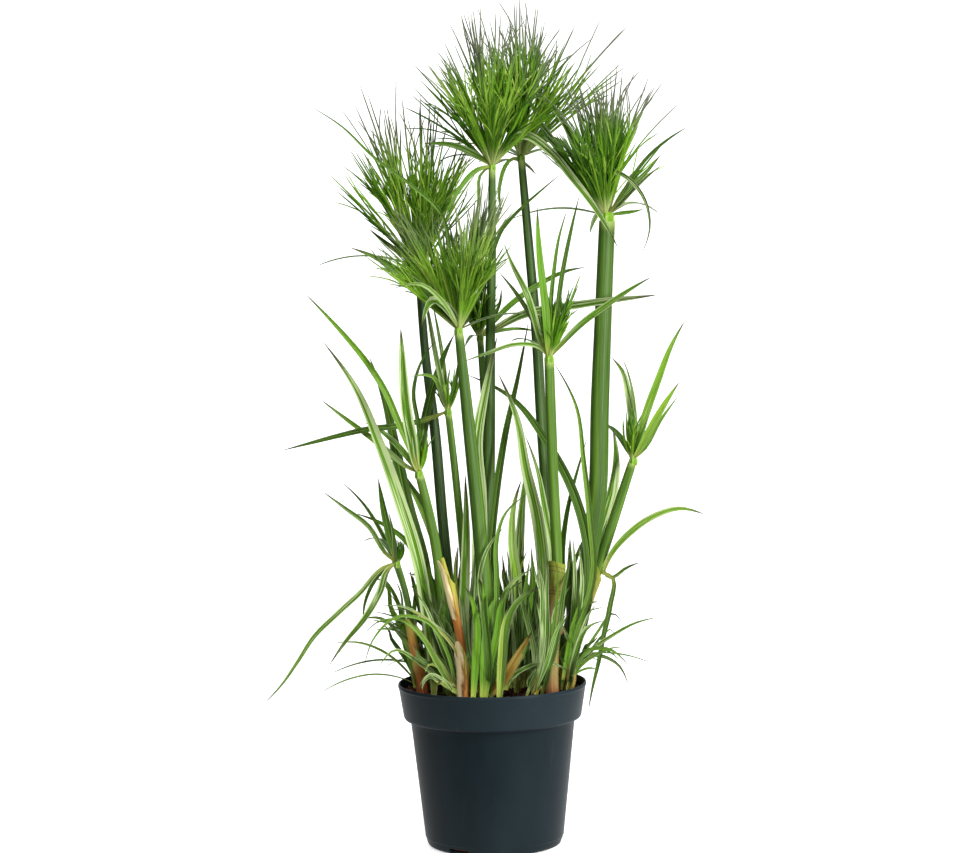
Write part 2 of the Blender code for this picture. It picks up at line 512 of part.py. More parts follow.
def segment_distances(starts, ends, low, high):
    """The distance from each segment of one row to each of another."""
    run = (ends - starts)[:, None]
    rise = (high - low)[None]
    between = starts[:, None] - low[None]
    run_run = (run * run).sum(-1)
    run_rise = (run * rise).sum(-1)
    rise_rise = (rise * rise).sum(-1)
    run_between = (run * between).sum(-1)
    rise_between = (rise * between).sum(-1)
    cross = run_run * rise_rise - run_rise ** 2
    on_run = np.clip((run_rise * rise_between - rise_rise * run_between) / np.maximum(cross, 1e-9), 0, 1)
    on_rise = np.clip((run_rise * on_run + rise_between) / np.maximum(rise_rise, 1e-9), 0, 1)
    on_run = np.clip((run_rise * on_rise - run_between) / np.maximum(run_run, 1e-9), 0, 1)
    return np.linalg.norm(between + on_run[..., None] * run - on_rise[..., None] * rise, axis=-1)


def stem_path(stem):
    """A stem's knots from its foot to its hub, with the radius at each."""
    foot = np.array((stem.foot[0], stem.foot[1], SOIL_TOP + GAP))
    knots = [foot, foot + (0, 0, LEVEL_FOOT)]
    radii = [stem.route[-1][2] / 2] * 2
    foot_line = sheet_place(foot)[1]
    for x, line, width in reversed(stem.route):
        share = (foot_line - line) / (foot_line - stem.hub[1])
        knots.append(seen((x, line), stem.foot[1] + (stem.depth - stem.foot[1]) * share))
        radii.append(width / 2)
    knots.append(seen(stem.hub, stem.depth))
    radii.append(stem.route[0][2] / 2)
    return knots, radii


def depth_trials():
    """Changes of a blade's depth at its tip and its middle, the smallest first."""
    steps = (0, -7, 7, -14, 14, -22, 22, -32, 32, -44, 44)
    pairs = [(tip, middle) for tip in steps for middle in steps]
    return sorted(pairs, key=lambda pair: abs(pair[0]) + abs(pair[1]))


def blade_knots(root, route, tip_depth, trial):
    """A blade's knots in space, from its root along its route on the sheet."""
    places = [sheet_place(root)] + [np.array(place, dtype=float) for place in route]
    reached = np.concatenate(([0.0], np.cumsum([np.linalg.norm(b - a) for a, b in zip(places, places[1:])])))
    shares = reached / reached[-1]
    knots = [root]
    for place, share in zip(places[1:], shares[1:]):
        depth = root[1] + (tip_depth + trial[0] - root[1]) * share + trial[1] * math.sin(math.pi * share)
        knots.append(seen(place, depth))
    return knots


def arc_knots(root, arc, trial):
    """Knots of a leaf that climbs from its root and droops as it goes out."""
    azimuth = math.radians(arc.azimuth + trial[0] * TURN_STEP)
    climb = math.radians(arc.climb + trial[1] * CLIMB_STEP)
    outward = np.array((math.cos(azimuth), math.sin(azimuth), 0.0))
    knots = []
    for share in np.linspace(0, 1, ARC_KNOTS):
        lift = math.sin(climb) * arc.length * share - arc.droop * share ** DROOP_POWER
        reach = math.cos(climb) * arc.length * share + arc.droop * DROOP_REACH * share ** 2
        knots.append(root + outward * reach + np.array((0, 0, lift)))
    return knots


def ring_places(start, length):
    """Where a blade's rings sit along it, its tip left out."""
    count = max(2, min(6, round(length / RING_SPACING)))
    return [start + (1 - start) * (index / count) ** RING_EASE for index in range(count)]


def lay_blade(space, owner, root, blade, hub=None):
    """Places a blade where it clears what is there, out of the hub's best free face if it has one."""
    best, best_gap = None, -math.inf
    for trial in depth_trials():
        if isinstance(blade, Arc):
            knots = arc_knots(root, blade, trial)
        else:
            knots = blade_knots(root, blade.route, blade.depth, trial)
        start = min(0.4, (hub.radius + FIRST_RING) / path_length(knots)) if hub else 0.0
        places = ring_places(start, path_length(knots))
        points = list(along(knots, places + [1.0]))
        radii = [blade_width(blade.width, place) / 2 for place in places] + [0.3]
        face, row = None, points
        if hub:
            aim = (points[0] - root) / np.linalg.norm(points[0] - root)
            face = max(hub.free, key=lambda index: float(hub.free[index] @ aim)) if hub.free else None
            out = aim if face is None else hub.free[face]
            row = [root + out * hub.radius, *points]
            radii = [BLADE_ROOT, *radii]
        gap = space.gap(owner, row, np.array(radii))
        if gap > best_gap:
            best, best_gap = (knots, points, radii, face, row), gap
        if gap > CLEARANCE:
            break
    knots, points, radii, face, row = best
    space.add(owner, row, radii, own_root=hub is not None)
    if face is not None:
        del hub.free[face]
    widths = [2 * radius for radius in radii[-len(points):-1]]
    return Limb(points, widths, facing(blade, knots), blade.look, root, face)


def facing(blade, knots):
    """The direction that a blade's upper face looks towards."""
    if isinstance(blade, Arc):
        azimuth = math.radians(blade.azimuth)
        return np.array((-math.cos(azimuth), -math.sin(azimuth), 0.9))
    turn = math.radians(30 * math.sin(float(knots[-1] @ (0.13, 0.0, 0.07))))
    return np.array((math.sin(turn), -math.cos(turn), 0.25))


def make_hub(space, owner, centre, radius, turn, detail, lowest):
    """A hub at its place, with the directions of the faces that limbs may grow from."""
    ball = bmesh.new()
    bmesh.ops.create_icosphere(ball, subdivisions=detail, radius=1)
    directions = [face.calc_center_median().normalized() for face in ball.faces]
    ball.free()
    free = {index: np.array(turn @ out) for index, out in enumerate(directions) if out.z > lowest}
    space.add_one(owner, centre, centre + (0, 0, 0.1), radius, True)
    return Hub(centre, radius, turn, detail, free)


def aim_at_tip(hub, tip, umbel, rng):
    """The free face that looks at a tip on the sheet, and the tip's place in space."""
    end = seen(tip, hub.centre[1] + rng.uniform(-RAY_DEPTHS, RAY_DEPTHS) * umbel.reach)
    aim = (end - hub.centre) / np.linalg.norm(end - hub.centre)
    return max(hub.free, key=lambda face: float(hub.free[face] @ aim)), end


def aim_from_face(hub, face, umbel, rng):
    """Where a ray from a face ends, in a brush that opens to the umbel's spread."""
    lean = math.radians(umbel.lean)
    axis = np.array((math.sin(lean), 0.0, math.cos(lean)))
    away = hub.free[face]
    share = min(math.acos(float(np.clip(away @ axis, -1, 1))) / HUB_HORIZON, 1)
    opened = share * math.radians(umbel.spread) + rng.uniform(-0.06, 0.06)
    flat = away - axis * (away @ axis)
    flat = flat / max(np.linalg.norm(flat), 1e-6)
    aim = axis * math.cos(opened) + flat * math.sin(opened)
    return hub.centre + aim * umbel.reach * (1 - SHORTER_SIDES * share ** 2) * rng.uniform(0.82, 1.0)


def lay_rays(space, owner, hub, umbel, rng):
    """Rays out of the hub's free upper faces: first to the given tips, then all around."""
    rays = []
    low = [face for face in hub.free if hub.free[face][2] < 0.12]
    for face in low:
        del hub.free[face]
    for tip in (*umbel.tips, *[None] * len(hub.free)):
        if not hub.free:
            break
        for _ in range(RAY_TRIALS):
            if tip is None:
                face = min(hub.free)
                end = aim_from_face(hub, face, umbel, rng)
            else:
                face, end = aim_at_tip(hub, tip, umbel, rng)
            out = hub.free[face]
            middle = (hub.centre + end) / 2 + out * RAY_RISE + (0, 0, RAY_BOW * umbel.reach)
            row = [hub.centre + out * hub.radius, middle, end]
            radii = np.array((RAY_ROOT, RAY_RADIUS, 0.2))
            if space.gap(owner, row, radii) > CLEARANCE / 2:
                space.add(owner, row, radii, own_root=True)
                rays.append(Limb([middle, end], [2 * RAY_RADIUS], None, "ray", hub.centre, face))
                del hub.free[face]
                break
        else:
            if tip is None:
                del hub.free[face]
    return rays


# Building

def clear_scene():
    for thing in list(bpy.data.objects):
        bpy.data.objects.remove(thing, do_unlink=True)


def make_material(name):
    material = bpy.data.materials.new(name)
    material.use_nodes = True
    shader = material.node_tree.nodes["Principled BSDF"]
    shader.inputs["Base Color"].default_value = COLOURS[name]
    shader.inputs["Roughness"].default_value = ROUGHNESS.get(name, 0.5)
    shader.inputs["Metallic"].default_value = 0.0
    return material


def new_collection(name):
    collection = bpy.data.collections.new(name)
    bpy.context.scene.collection.children.link(collection)
    return collection


class Maker:
    """Where finished objects go, and the materials that they take."""

    def __init__(self):
        self.parts = new_collection("potted_papyrus_plant")
        self.cutters = new_collection("cutters")
        self.materials = {name: make_material(name) for name in COLOURS}
        self.plant = bpy.data.objects.new("plant", None)
        self.parts.objects.link(self.plant)

    def place(self, name, data, look, location=(0, 0, 0), parent=None):
        """A new object at a place in millimetres."""
        thing = bpy.data.objects.new(name, data)
        data.materials.append(self.materials[look])
        thing.location = Vector(location) * MM
        thing.parent = parent
        self.parts.objects.link(thing)
        return thing

    def place_mesh(self, name, shape, look, location, parent):
        """A finished bmesh, in metres around its location, as an object."""
        bmesh.ops.recalc_face_normals(shape, faces=shape.faces)
        mesh = bpy.data.meshes.new(name)
        shape.to_mesh(mesh)
        shape.free()
        mesh.shade_smooth()
        mesh.set_sharp_from_angle(angle=math.radians(40))
        return self.place(name, mesh, look, location, parent)


def turned(maker, name, profile, sides, look):
    """A solid turned about the z axis from a profile of radii and heights."""
    mesh = bpy.data.meshes.new(name)
    shape = bmesh.new()
    corners = [shape.verts.new((radius * MM, 0, height * MM)) for radius, height in profile]
    for start, end in zip(corners, corners[1:]):
        shape.edges.new((start, end))
    shape.to_mesh(mesh)
    shape.free()
    thing = maker.place(name, mesh, look)
    screw = thing.modifiers.new("turn", "SCREW")
    screw.steps = sides
    screw.render_steps = sides
    screw.use_merge_vertices = True
    screw.merge_threshold = 0.00001
    screw.use_smooth_shade = True
    return thing


def pot_profile():
    """The pot's section: up the inside, over the lip, down the outside and in under the floor."""
    inner_lip = RIM_RADIUS - WALL
    inner_band = BAND_FOOT_RADIUS - WALL
    inner_body = BODY_TOP_RADIUS - WALL
    return [
        (0, FLOOR), (BODY_FOOT_RADIUS - WALL - FOOT_ROUNDING, FLOOR),
        (BODY_FOOT_RADIUS - WALL, FOOT_ROUNDING + 1), (inner_body, BODY_TOP_HEIGHT),
        (inner_band, BAND_FOOT_HEIGHT + WALL), (inner_lip, RIM_HEIGHT - LIP_HEIGHT),
        (inner_lip + LIP_PROUD, RIM_HEIGHT), (RIM_RADIUS, RIM_HEIGHT - LIP_PROUD),
        (RIM_RADIUS + LIP_PROUD, RIM_HEIGHT - LIP_HEIGHT),
        (BAND_FOOT_RADIUS, BAND_FOOT_HEIGHT), (BODY_TOP_RADIUS, BODY_TOP_HEIGHT),
        (BODY_FOOT_RADIUS, FOOT_ROUNDING), (BODY_FOOT_RADIUS - FOOT_ROUNDING * 0.3, FOOT_ROUNDING * 0.3),
        (BODY_FOOT_RADIUS - FOOT_ROUNDING, 0), (0, 0),
    ]


def build_pot(maker):
    """The nursery pot, with drain notches cut around its foot."""
    pot = turned(maker, "pot", pot_profile(), POT_SIDES, "pot")
    notches = bmesh.new()
    for index in range(DRAIN_COUNT):
        box = bmesh.ops.create_cube(notches, size=1)["verts"]
        bmesh.ops.scale(notches, vec=(DRAIN_DEPTH * MM, DRAIN_WIDTH * MM, 2 * DRAIN_HEIGHT * MM), verts=box)
        bmesh.ops.translate(notches, vec=(BODY_FOOT_RADIUS * MM, 0, 0), verts=box)
        turn = Quaternion((0, 0, 1), DRAIN_AZIMUTH + math.tau * index / DRAIN_COUNT).to_matrix()
        bmesh.ops.rotate(notches, cent=(0, 0, 0), matrix=turn, verts=box)
    mesh = bpy.data.meshes.new("drain_notches")
    notches.to_mesh(mesh)
    notches.free()
    cutter = bpy.data.objects.new("drain_notches", mesh)
    cutter.hide_render = True
    cutter.display_type = "WIRE"
    maker.cutters.objects.link(cutter)
    cut = pot.modifiers.new("drain", "BOOLEAN")
    cut.operation = "DIFFERENCE"
    cut.object = cutter


def soil_profile():
    """The peat's section: over the top from the middle, then down the pot's inner wall."""
    shrink = math.cos(math.pi / POT_SIDES)
    wall = WALL + GAP
    slope = (RIM_RADIUS - BAND_FOOT_RADIUS) / (RIM_HEIGHT - BAND_FOOT_HEIGHT)
    top_radius = BAND_FOOT_RADIUS + slope * (SOIL_TOP - BAND_FOOT_HEIGHT) - wall
    side = [
        (top_radius, SOIL_TOP - SOIL_EDGE_DROP), (BAND_FOOT_RADIUS - wall, BAND_FOOT_HEIGHT + WALL + GAP),
        (BODY_TOP_RADIUS - wall, BODY_TOP_HEIGHT), (BODY_FOOT_RADIUS - wall, DRAIN_HEIGHT + GAP),
        (SOIL_FOOT_RADIUS, DRAIN_HEIGHT + GAP), (SOIL_FOOT_RADIUS, FLOOR + GAP),
    ]
    top = [(0, SOIL_TOP), *((radius, SOIL_TOP) for radius in SOIL_RINGS)]
    return top + [(radius * shrink, height) for radius, height in side] + [(0, FLOOR + GAP)]


def build_soil(maker, feet):
    """The peat, with hollows in its top away from the stems' feet."""
    soil = turned(maker, "soil", soil_profile(), SOIL_SIDES, "soil")
    graph = bpy.context.evaluated_depsgraph_get()
    mesh = bpy.data.meshes.new_from_object(soil.evaluated_get(graph))
    soil.modifiers.clear()
    soil.data = mesh
    rng = random.Random(5)
    for corner in mesh.vertices:
        place = Vector(corner.co) / MM
        level = abs(place.z - SOIL_TOP) < 0.01
        near = min((Vector(foot) - place.xy).length for foot in feet)
        if level and near > LUMP_FREE:
            corner.co.z -= rng.uniform(0.2, 1.0) * LUMP_DEPTH * MM


def build_stem(maker, name, points, radii, look, parent):
    """A stem as a curve of straight runs with a thickness at each point."""
    curve = bpy.data.curves.new(name, "CURVE")
    curve.dimensions = "3D"
    curve.bevel_depth = MM
    curve.bevel_resolution = STEM_CORNERS
    curve.use_fill_caps = True
    spline = curve.splines.new("POLY")
    spline.points.add(len(points) - 1)
    spline.use_smooth = True
    for point, place, radius in zip(spline.points, points, radii):
        point.co = (*((Vector(place) - Vector(points[0])) * MM), 1)
        point.radius = radius
    return maker.place(name, curve, look, points[0], parent)


def blade_ring(points, index, width, face):
    """Three corners of a blade's section: its right edge, its keel and its left edge."""
    before = points[max(index - 1, 0)]
    after = points[min(index + 1, len(points) - 1)]
    run = Vector(after) - Vector(before)
    across = run.cross(Vector(face)).normalized()
    under = run.cross(across).normalized()
    centre = Vector(points[index])
    keel = max(KEEL * width, KEEL_LEAST)
    return [centre + across * width / 2, centre + under * keel, centre - across * width / 2]


def ray_ring(points, index, width):
    """Three corners of a ray's section."""
    run = Vector(points[min(index + 1, len(points) - 1)]) - Vector(points[max(index - 1, 0)])
    across = run.orthogonal().normalized()
    turn = Quaternion(run.normalized(), math.tau / 3)
    corners = []
    for _ in range(3):
        corners.append(Vector(points[index]) + across * width / 2)
        across = turn @ across
    return corners


def grow(shape, face, limb, origin):
    """Draws one limb out of a triangular face, ring by ring, to its pointed tip."""
    points = [limb.start, *limb.points]
    shift = None
    for index, width in enumerate(limb.widths):
        if limb.look == "ray":
            ring = ray_ring(points, index + 1, width)
        else:
            ring = blade_ring(points, index + 1, width, limb.face)
        ring = [(corner - origin) * MM for corner in ring]
        if shift is None:
            shift = least_twist([corner.co.copy() for corner in face.verts], ring)
        face = bmesh.ops.extrude_discrete_faces(shape, faces=[face])["faces"][0]
        for slot, corner in enumerate(face.verts):
            corner.co = ring[(slot + shift) % 3]
    tip = (Vector(limb.points[-1]) - origin) * MM
    face = bmesh.ops.extrude_discrete_faces(shape, faces=[face])["faces"][0]
    bmesh.ops.pointmerge(shape, verts=list(face.verts), merge_co=tip)


def least_twist(corners, ring):
    """How far a ring is counted on so that its corners follow those of the face it grows from."""
    middle = sum(corners, Vector()) / 3
    centre = sum(ring, Vector()) / 3

    def twist(shift):
        return sum(
            (corners[slot] - middle).normalized().dot((ring[(slot + shift) % 3] - centre).normalized())
            for slot in range(3)
        )

    return max(range(3), key=twist)


def crosses_itself(shape):
    """Whether any two faces that share no corner meet."""
    tree = BVHTree.FromBMesh(shape)
    shape.faces.ensure_lookup_table()
    for one, other in tree.overlap(tree):
        if one < other and not set(shape.faces[one].verts) & set(shape.faces[other].verts):
            return True
    return False


def grow_clear(shape, centres, limb, origin):
    """The shape with a limb grown from the first face, of those with these centres, that keeps it clear."""
    for centre in centres:
        trial = shape.copy()
        root = min(trial.faces, key=lambda face: (face.calc_center_median() - centre).length)
        grow(trial, root, limb, origin)
        bmesh.ops.triangulate(trial, faces=[face for face in trial.faces if len(face.verts) > 3])
        if not crosses_itself(trial):
            shape.free()
            return trial, centre
        trial.free()
    return shape, None


def build_crown(maker, name, hub, limbs, look):
    """A hub with a flat underside, and every limb that grows from it clear of the others."""
    shape = bmesh.new()
    bmesh.ops.create_icosphere(shape, subdivisions=hub.detail, radius=hub.radius * MM)
    for corner in shape.verts:
        corner.co.z = max(corner.co.z, -HUB_FLAT * hub.radius * MM)
    bmesh.ops.rotate(shape, cent=(0, 0, 0), matrix=hub.turn.to_matrix(), verts=shape.verts)
    centres = [face.calc_center_median() for face in shape.faces]
    kept = {limb.root for limb in limbs}
    low = -HUB_FLAT * hub.radius * MM * 0.9
    spare = [centre for index, centre in enumerate(centres) if index not in kept and centre.z > low]
    for limb in limbs:
        roots = [centres[limb.root]]
        if limb.look != "ray":
            aim = Vector(limb.points[0]) - Vector(hub.centre)
            spare.sort(key=lambda centre: -centre.dot(aim))
            roots += spare[:SPARE_FACES]
        shape, root = grow_clear(shape, roots, limb, Vector(hub.centre))
        if root in spare:
            spare.remove(root)
    return maker.place_mesh(name, shape, look, hub.centre, maker.plant)


def build_leaf(maker, name, limb, parent):
    """A leaf that stands on the soil by itself, from a short upright prism."""
    origin = Vector(limb.start)
    foot = blade_ring(limb.points, 0, limb.widths[0], limb.face)
    shape = bmesh.new()
    bmesh.ops.create_cone(shape, segments=3, cap_ends=True, radius1=MM, radius2=MM, depth=2 * MM)
    for corner in shape.verts:
        angle = math.atan2(corner.co.y, corner.co.x) % math.tau
        place = foot[round(angle / (math.tau / 3)) % 3]
        height = LEAF_FOOT if corner.co.z > 0 else 0
        corner.co = Vector((place.x - origin.x, place.y - origin.y, height)) * MM
    caps = [face for face in shape.faces if len(face.verts) == 3]
    top = max(caps, key=lambda face: face.calc_center_median().z)
    bmesh.ops.recalc_face_normals(shape, faces=shape.faces)
    grow(shape, top, limb._replace(points=limb.points[1:], widths=limb.widths[1:]), origin)
    return maker.place_mesh(name, shape, limb.look, origin, parent)


def is_on_band(face, middle, axis):
    """Whether a sheath's face looks out from the band below its top."""
    place = face.calc_center_median() - middle
    out = place - axis * place.dot(axis)
    return abs(place.dot(axis)) < SHEATH_SHOULDER / 2 * MM * 0.9 and face.normal.dot(out) > 0


def build_sheath(maker, name, stem_points, stem_radii, limbs, parent):
    """A sleeve around a stem's foot, turned upright and bent along the stem, with the leaves it ends in."""
    origin = Vector(stem_points[0])
    last = len(stem_points) - 1
    slack = 1 / math.cos(math.pi / SHEATH_SIDES)
    bores = [(radius + SHEATH_CLEARANCE) * slack for radius in stem_radii]
    outsides = [bore + SHEATH_WALL * (SHEATH_FOOT - station / last) for station, bore in enumerate(bores)]
    outline = [(radius, station) for station, radius in enumerate(outsides)]
    outline += [(bores[station], station) for station in range(last, -1, -1)]
    shape = bmesh.new()
    corners = [shape.verts.new((radius, 0, station)) for radius, station in outline]
    edges = [shape.edges.new(pair) for pair in zip(corners, corners[1:] + corners[:1])]
    bmesh.ops.spin(shape, geom=corners + edges, cent=(0, 0, 0), axis=(0, 0, 1), angle=math.tau,
                   steps=SHEATH_SIDES, use_merge=True)
    for corner in shape.verts:
        station = round(corner.co.z)
        run = Vector((0, 0, 1))
        if station > 1:
            run = Vector(stem_points[min(station + 1, last)]) - Vector(stem_points[station - 1])
        turn = Vector((0, 0, 1)).rotation_difference(run)
        across = turn @ Vector((corner.co.x, corner.co.y, 0))
        corner.co = (Vector(stem_points[station]) - origin + across) * MM
    bmesh.ops.triangulate(shape, faces=shape.faces)
    bmesh.ops.recalc_face_normals(shape, faces=shape.faces)
    axis = (Vector(stem_points[-1]) - Vector(stem_points[-2])).normalized()
    middle = (Vector(stem_points[-1]) - origin - axis * SHEATH_SHOULDER / 2) * MM
    band = [
        (face.normal.copy(), face.calc_center_median())
        for face in shape.faces if is_on_band(face, middle, axis)
    ]
    for limb in limbs:
        out = Vector(limb.points[0]) - Vector(limb.start)
        band.sort(key=lambda side: -side[0].dot(out))
        shape, root = grow_clear(shape, [centre for _, centre in band], limb, origin)
        band = [side for side in band if side[1] != root]
    return maker.place_mesh(name, shape, "dry", origin, parent)


def lay_out():
    """Every piece of the plant at its place, each clear of those before it."""
    space = Space()
    plan = {"stems": {}, "hubs": {}, "umbels": {}, "leaves": {}, "tufts": {}, "sheaths": {}}
    for stem in (*STEMS, OLD_SHOOT):
        points, radii = stem_samples(stem)
        plan["stems"][stem.name] = (points, radii)
        space.add(stem.name, points, radii)
    for stem in STEMS:
        points, radii = plan["stems"][stem.name]
        turn = Vector((0, 0, 1)).rotation_difference(Vector(points[-1] - points[-2]))
        plan["hubs"][stem.name] = make_hub(
            space, stem.name, points[-1], radii[-1] + HUB_MARGIN, turn, HUB_DETAIL, LOWEST_BRACT)
    for tuft in TUFTS:
        root = np.array((*tuft.foot, SOIL_TOP + GAP + HUB_FLAT * CROWN_RADIUS))
        plan["hubs"][tuft.name] = make_hub(
            space, tuft.name, root, CROWN_RADIUS, Quaternion(), CROWN_DETAIL, LOWEST_SHOOT)
    for sheath in SHEATHS:
        plan["sheaths"][sheath.name] = lay_sheath(space, sheath, *plan["stems"][sheath.stem])
    for leaf in LEAVES:
        root = np.array((*leaf.foot, SOIL_TOP + GAP))
        blade = Blade(leaf.route, leaf.width, leaf.depth, leaf.look)
        plan["leaves"][leaf.name] = lay_blade(space, leaf.name, root, blade)
    for stem, umbel in zip(STEMS, UMBELS):
        blades = (*umbel.bracts, *umbel.back)
        plan["umbels"][stem.name] = lay_blades(space, stem.name, plan["hubs"][stem.name], blades)
    for tuft in TUFTS:
        plan["tufts"][tuft.name] = lay_blades(space, tuft.name, plan["hubs"][tuft.name], tuft.blades)
    for name, foot, arc in BACK_LEAVES:
        root = np.array((*foot, SOIL_TOP + GAP))
        plan["leaves"][name] = lay_blade(space, name, root, arc)
    rng = random.Random(11)
    for stem, umbel in zip(STEMS, UMBELS):
        plan["umbels"][stem.name] += lay_rays(space, stem.name, plan["hubs"][stem.name], umbel, rng)
    return plan


def stem_samples(stem):
    """Points of a stem, its upright foot first, with the radius at each."""
    knots, radii = stem_path(stem)
    count = max(4, round(path_length(knots) / STEM_SPACING))
    places = [0.0, *np.linspace(LEVEL_FOOT / path_length(knots), 1, count)]
    steps = [np.linalg.norm(after - before) for before, after in zip(knots, knots[1:])]
    reached = np.concatenate(([0.0], np.cumsum(steps)))
    return list(along(knots, places)), list(np.interp(np.array(places) * reached[-1], reached, radii))


def lay_sheath(space, sheath, points, radii):
    """The points of the stem that a sheath covers, and the leaves that it ends in."""
    rows = [sheet_place(point)[1] for point in points]
    count = 1 + max(index for index, row in enumerate(rows) if row >= sheath.top[1])
    share = (rows[count - 1] - sheath.top[1]) / (rows[count - 1] - rows[count])
    below = points[count - 1]
    top = below + (points[count] - below) * share
    radius = radii[count - 1] + (radii[count] - radii[count - 1]) * share
    shoulder = top - (top - below) * SHEATH_SHOULDER / np.linalg.norm(top - below)
    points = [*points[:count], shoulder, top]
    radii = [*radii[:count], radius, radius]
    space.add(sheath.stem, points[:-1], [radius + SHEATH_MARGIN for radius in radii[:-1]])
    space.add_one(sheath.stem, points[-2], points[-1], radii[-2] + SHEATH_MARGIN, True)
    hub = Hub(points[-1], radii[-1] + SHEATH_MARGIN, None, None, None)
    return points, radii, lay_blades(space, sheath.stem, hub, sheath.blades)


def lay_blades(space, owner, hub, blades):
    """All blades of one hub. The depth of each is counted from the hub's own."""
    limbs = []
    for blade in blades:
        if isinstance(blade, Blade):
            blade = blade._replace(depth=hub.centre[1] + blade.depth)
        limbs.append(lay_blade(space, owner, hub.centre, blade, hub))
    return limbs


def build_plant(maker, plan):
    """Every piece of the plant as an object under the plant's own empty."""
    for stem in STEMS:
        points, radii = plan["stems"][stem.name]
        hub = plan["hubs"][stem.name]
        top = points[-1] - hub.turn @ Vector((0, 0, HUB_FLAT * hub.radius + GAP))
        build_stem(maker, stem.name, [*points[:-1], top], radii, "stem", maker.plant)
        limbs = plan["umbels"][stem.name]
        build_crown(maker, stem.name.replace("stem", "umbel"), hub, limbs, "umbel")
    build_stem(maker, OLD_SHOOT.name, *plan["stems"][OLD_SHOOT.name], "dry", maker.plant)
    for name, limbs in plan["tufts"].items():
        build_crown(maker, name, plan["hubs"][name], limbs, "leaf")
    for name, limb in plan["leaves"].items():
        build_leaf(maker, name, limb, maker.plant)
    for name, (points, radii, limbs) in plan["sheaths"].items():
        build_sheath(maker, name, points, radii, limbs, maker.plant)


def main():
    clear_scene()
    maker = Maker()
    build_pot(maker)
    feet = [stem.foot for stem in (*STEMS, OLD_SHOOT)] + [leaf.foot for leaf in (*LEAVES, *TUFTS)]
    feet += [foot for _, foot, _ in BACK_LEAVES]
    build_soil(maker, feet)
    build_plant(maker, lay_out())


main()
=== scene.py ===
"""A potted papyrus plant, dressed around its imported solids.

Stems, blades and rays are read off the solids: each limb of a solid is a row of triangular rings that ends
in a point. Every fine blade, ray and stem follows such a row, so it stays where the solid is. Places on the
sheet are the front view's own, as in the CAD source. Lengths are in metres where no comment says otherwise.
"""

import json
import math
import random
from collections import namedtuple

import bmesh
import bpy
import numpy as np
from mathutils import Matrix, Vector, noise

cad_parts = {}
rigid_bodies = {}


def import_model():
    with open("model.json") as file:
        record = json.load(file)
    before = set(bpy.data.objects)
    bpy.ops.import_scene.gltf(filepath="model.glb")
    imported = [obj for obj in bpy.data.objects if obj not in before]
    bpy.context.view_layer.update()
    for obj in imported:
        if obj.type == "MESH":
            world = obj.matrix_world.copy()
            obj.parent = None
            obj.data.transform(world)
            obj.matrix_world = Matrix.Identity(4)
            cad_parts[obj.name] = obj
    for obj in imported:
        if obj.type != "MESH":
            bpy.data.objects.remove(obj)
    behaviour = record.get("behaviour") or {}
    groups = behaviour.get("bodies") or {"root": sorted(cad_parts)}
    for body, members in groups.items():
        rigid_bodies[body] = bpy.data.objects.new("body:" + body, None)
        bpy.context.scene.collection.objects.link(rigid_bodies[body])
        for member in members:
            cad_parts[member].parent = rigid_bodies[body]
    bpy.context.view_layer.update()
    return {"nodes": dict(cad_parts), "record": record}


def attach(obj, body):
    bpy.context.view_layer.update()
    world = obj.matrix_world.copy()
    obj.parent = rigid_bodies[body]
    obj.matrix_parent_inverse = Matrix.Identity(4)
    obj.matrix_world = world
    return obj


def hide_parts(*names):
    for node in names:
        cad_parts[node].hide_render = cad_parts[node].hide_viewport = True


MM = 0.001
WELD = 0.000002  # corners closer than this are one

# The front view. Its sheet has the scale of the pot's axis, so all of this is in millimetres.
SHEET_CENTRE = (485.0, 426.5)
AIM = np.array((-2.7, 0.0, 422.8))
EYE_DISTANCE = 3212.0
EYE_TILT = math.radians(4.9)
EYE_ROLL = math.radians(1.0)
FRAME_WIDTH = 970.0
SENSOR = 36.0

# Pot, in millimetres
RIM_RADIUS = 94.5
RIM_HEIGHT = 165.0
LIP_HEIGHT = 3.0
LIP_PROUD = 0.4
BAND_FOOT_RADIUS = 89.4
BAND_FOOT_HEIGHT = 130.0
BODY_TOP_RADIUS = 83.0
BODY_TOP_HEIGHT = 128.5
BODY_FOOT_RADIUS = 68.6
FOOT_ROUNDING = 5.0
FOOT_LINE = 9.0
WALL = 1.8
FLOOR = 2.2
POT_SIDES = 144
POT_CREASE = math.radians(38)  # edges sharper than this stay sharp
DRAIN_COUNT = 3
DRAIN_AZIMUTH = math.radians(237.6)
DRAIN_WIDTH = 23.0
DRAIN_HEIGHT = 6.5
DRAIN_DEPTH = 13.0
DRAIN_ROUNDING = 2.0
MOUTH_CLEARANCE = 8.0  # how far inside the rim's radius small leaves keep, below its top
RIM_CLEARANCE = 3.0  # how far above the rim they pass over it

# Soil, in millimetres
SOIL_TOP = 157.0
SOIL_DIP = 0.9  # how far the middle height of its surface lies below its top
SOIL_GAP = 0.5
SOIL_FOOT_RADIUS = BODY_FOOT_RADIUS - 8.6
SOIL_SIDES = 96
SOIL_RINGS = 42
SOIL_ROUGHNESS = 2.2
CRUMBS = 900
CRUMB_SIDES = 6
FIBRES = 90

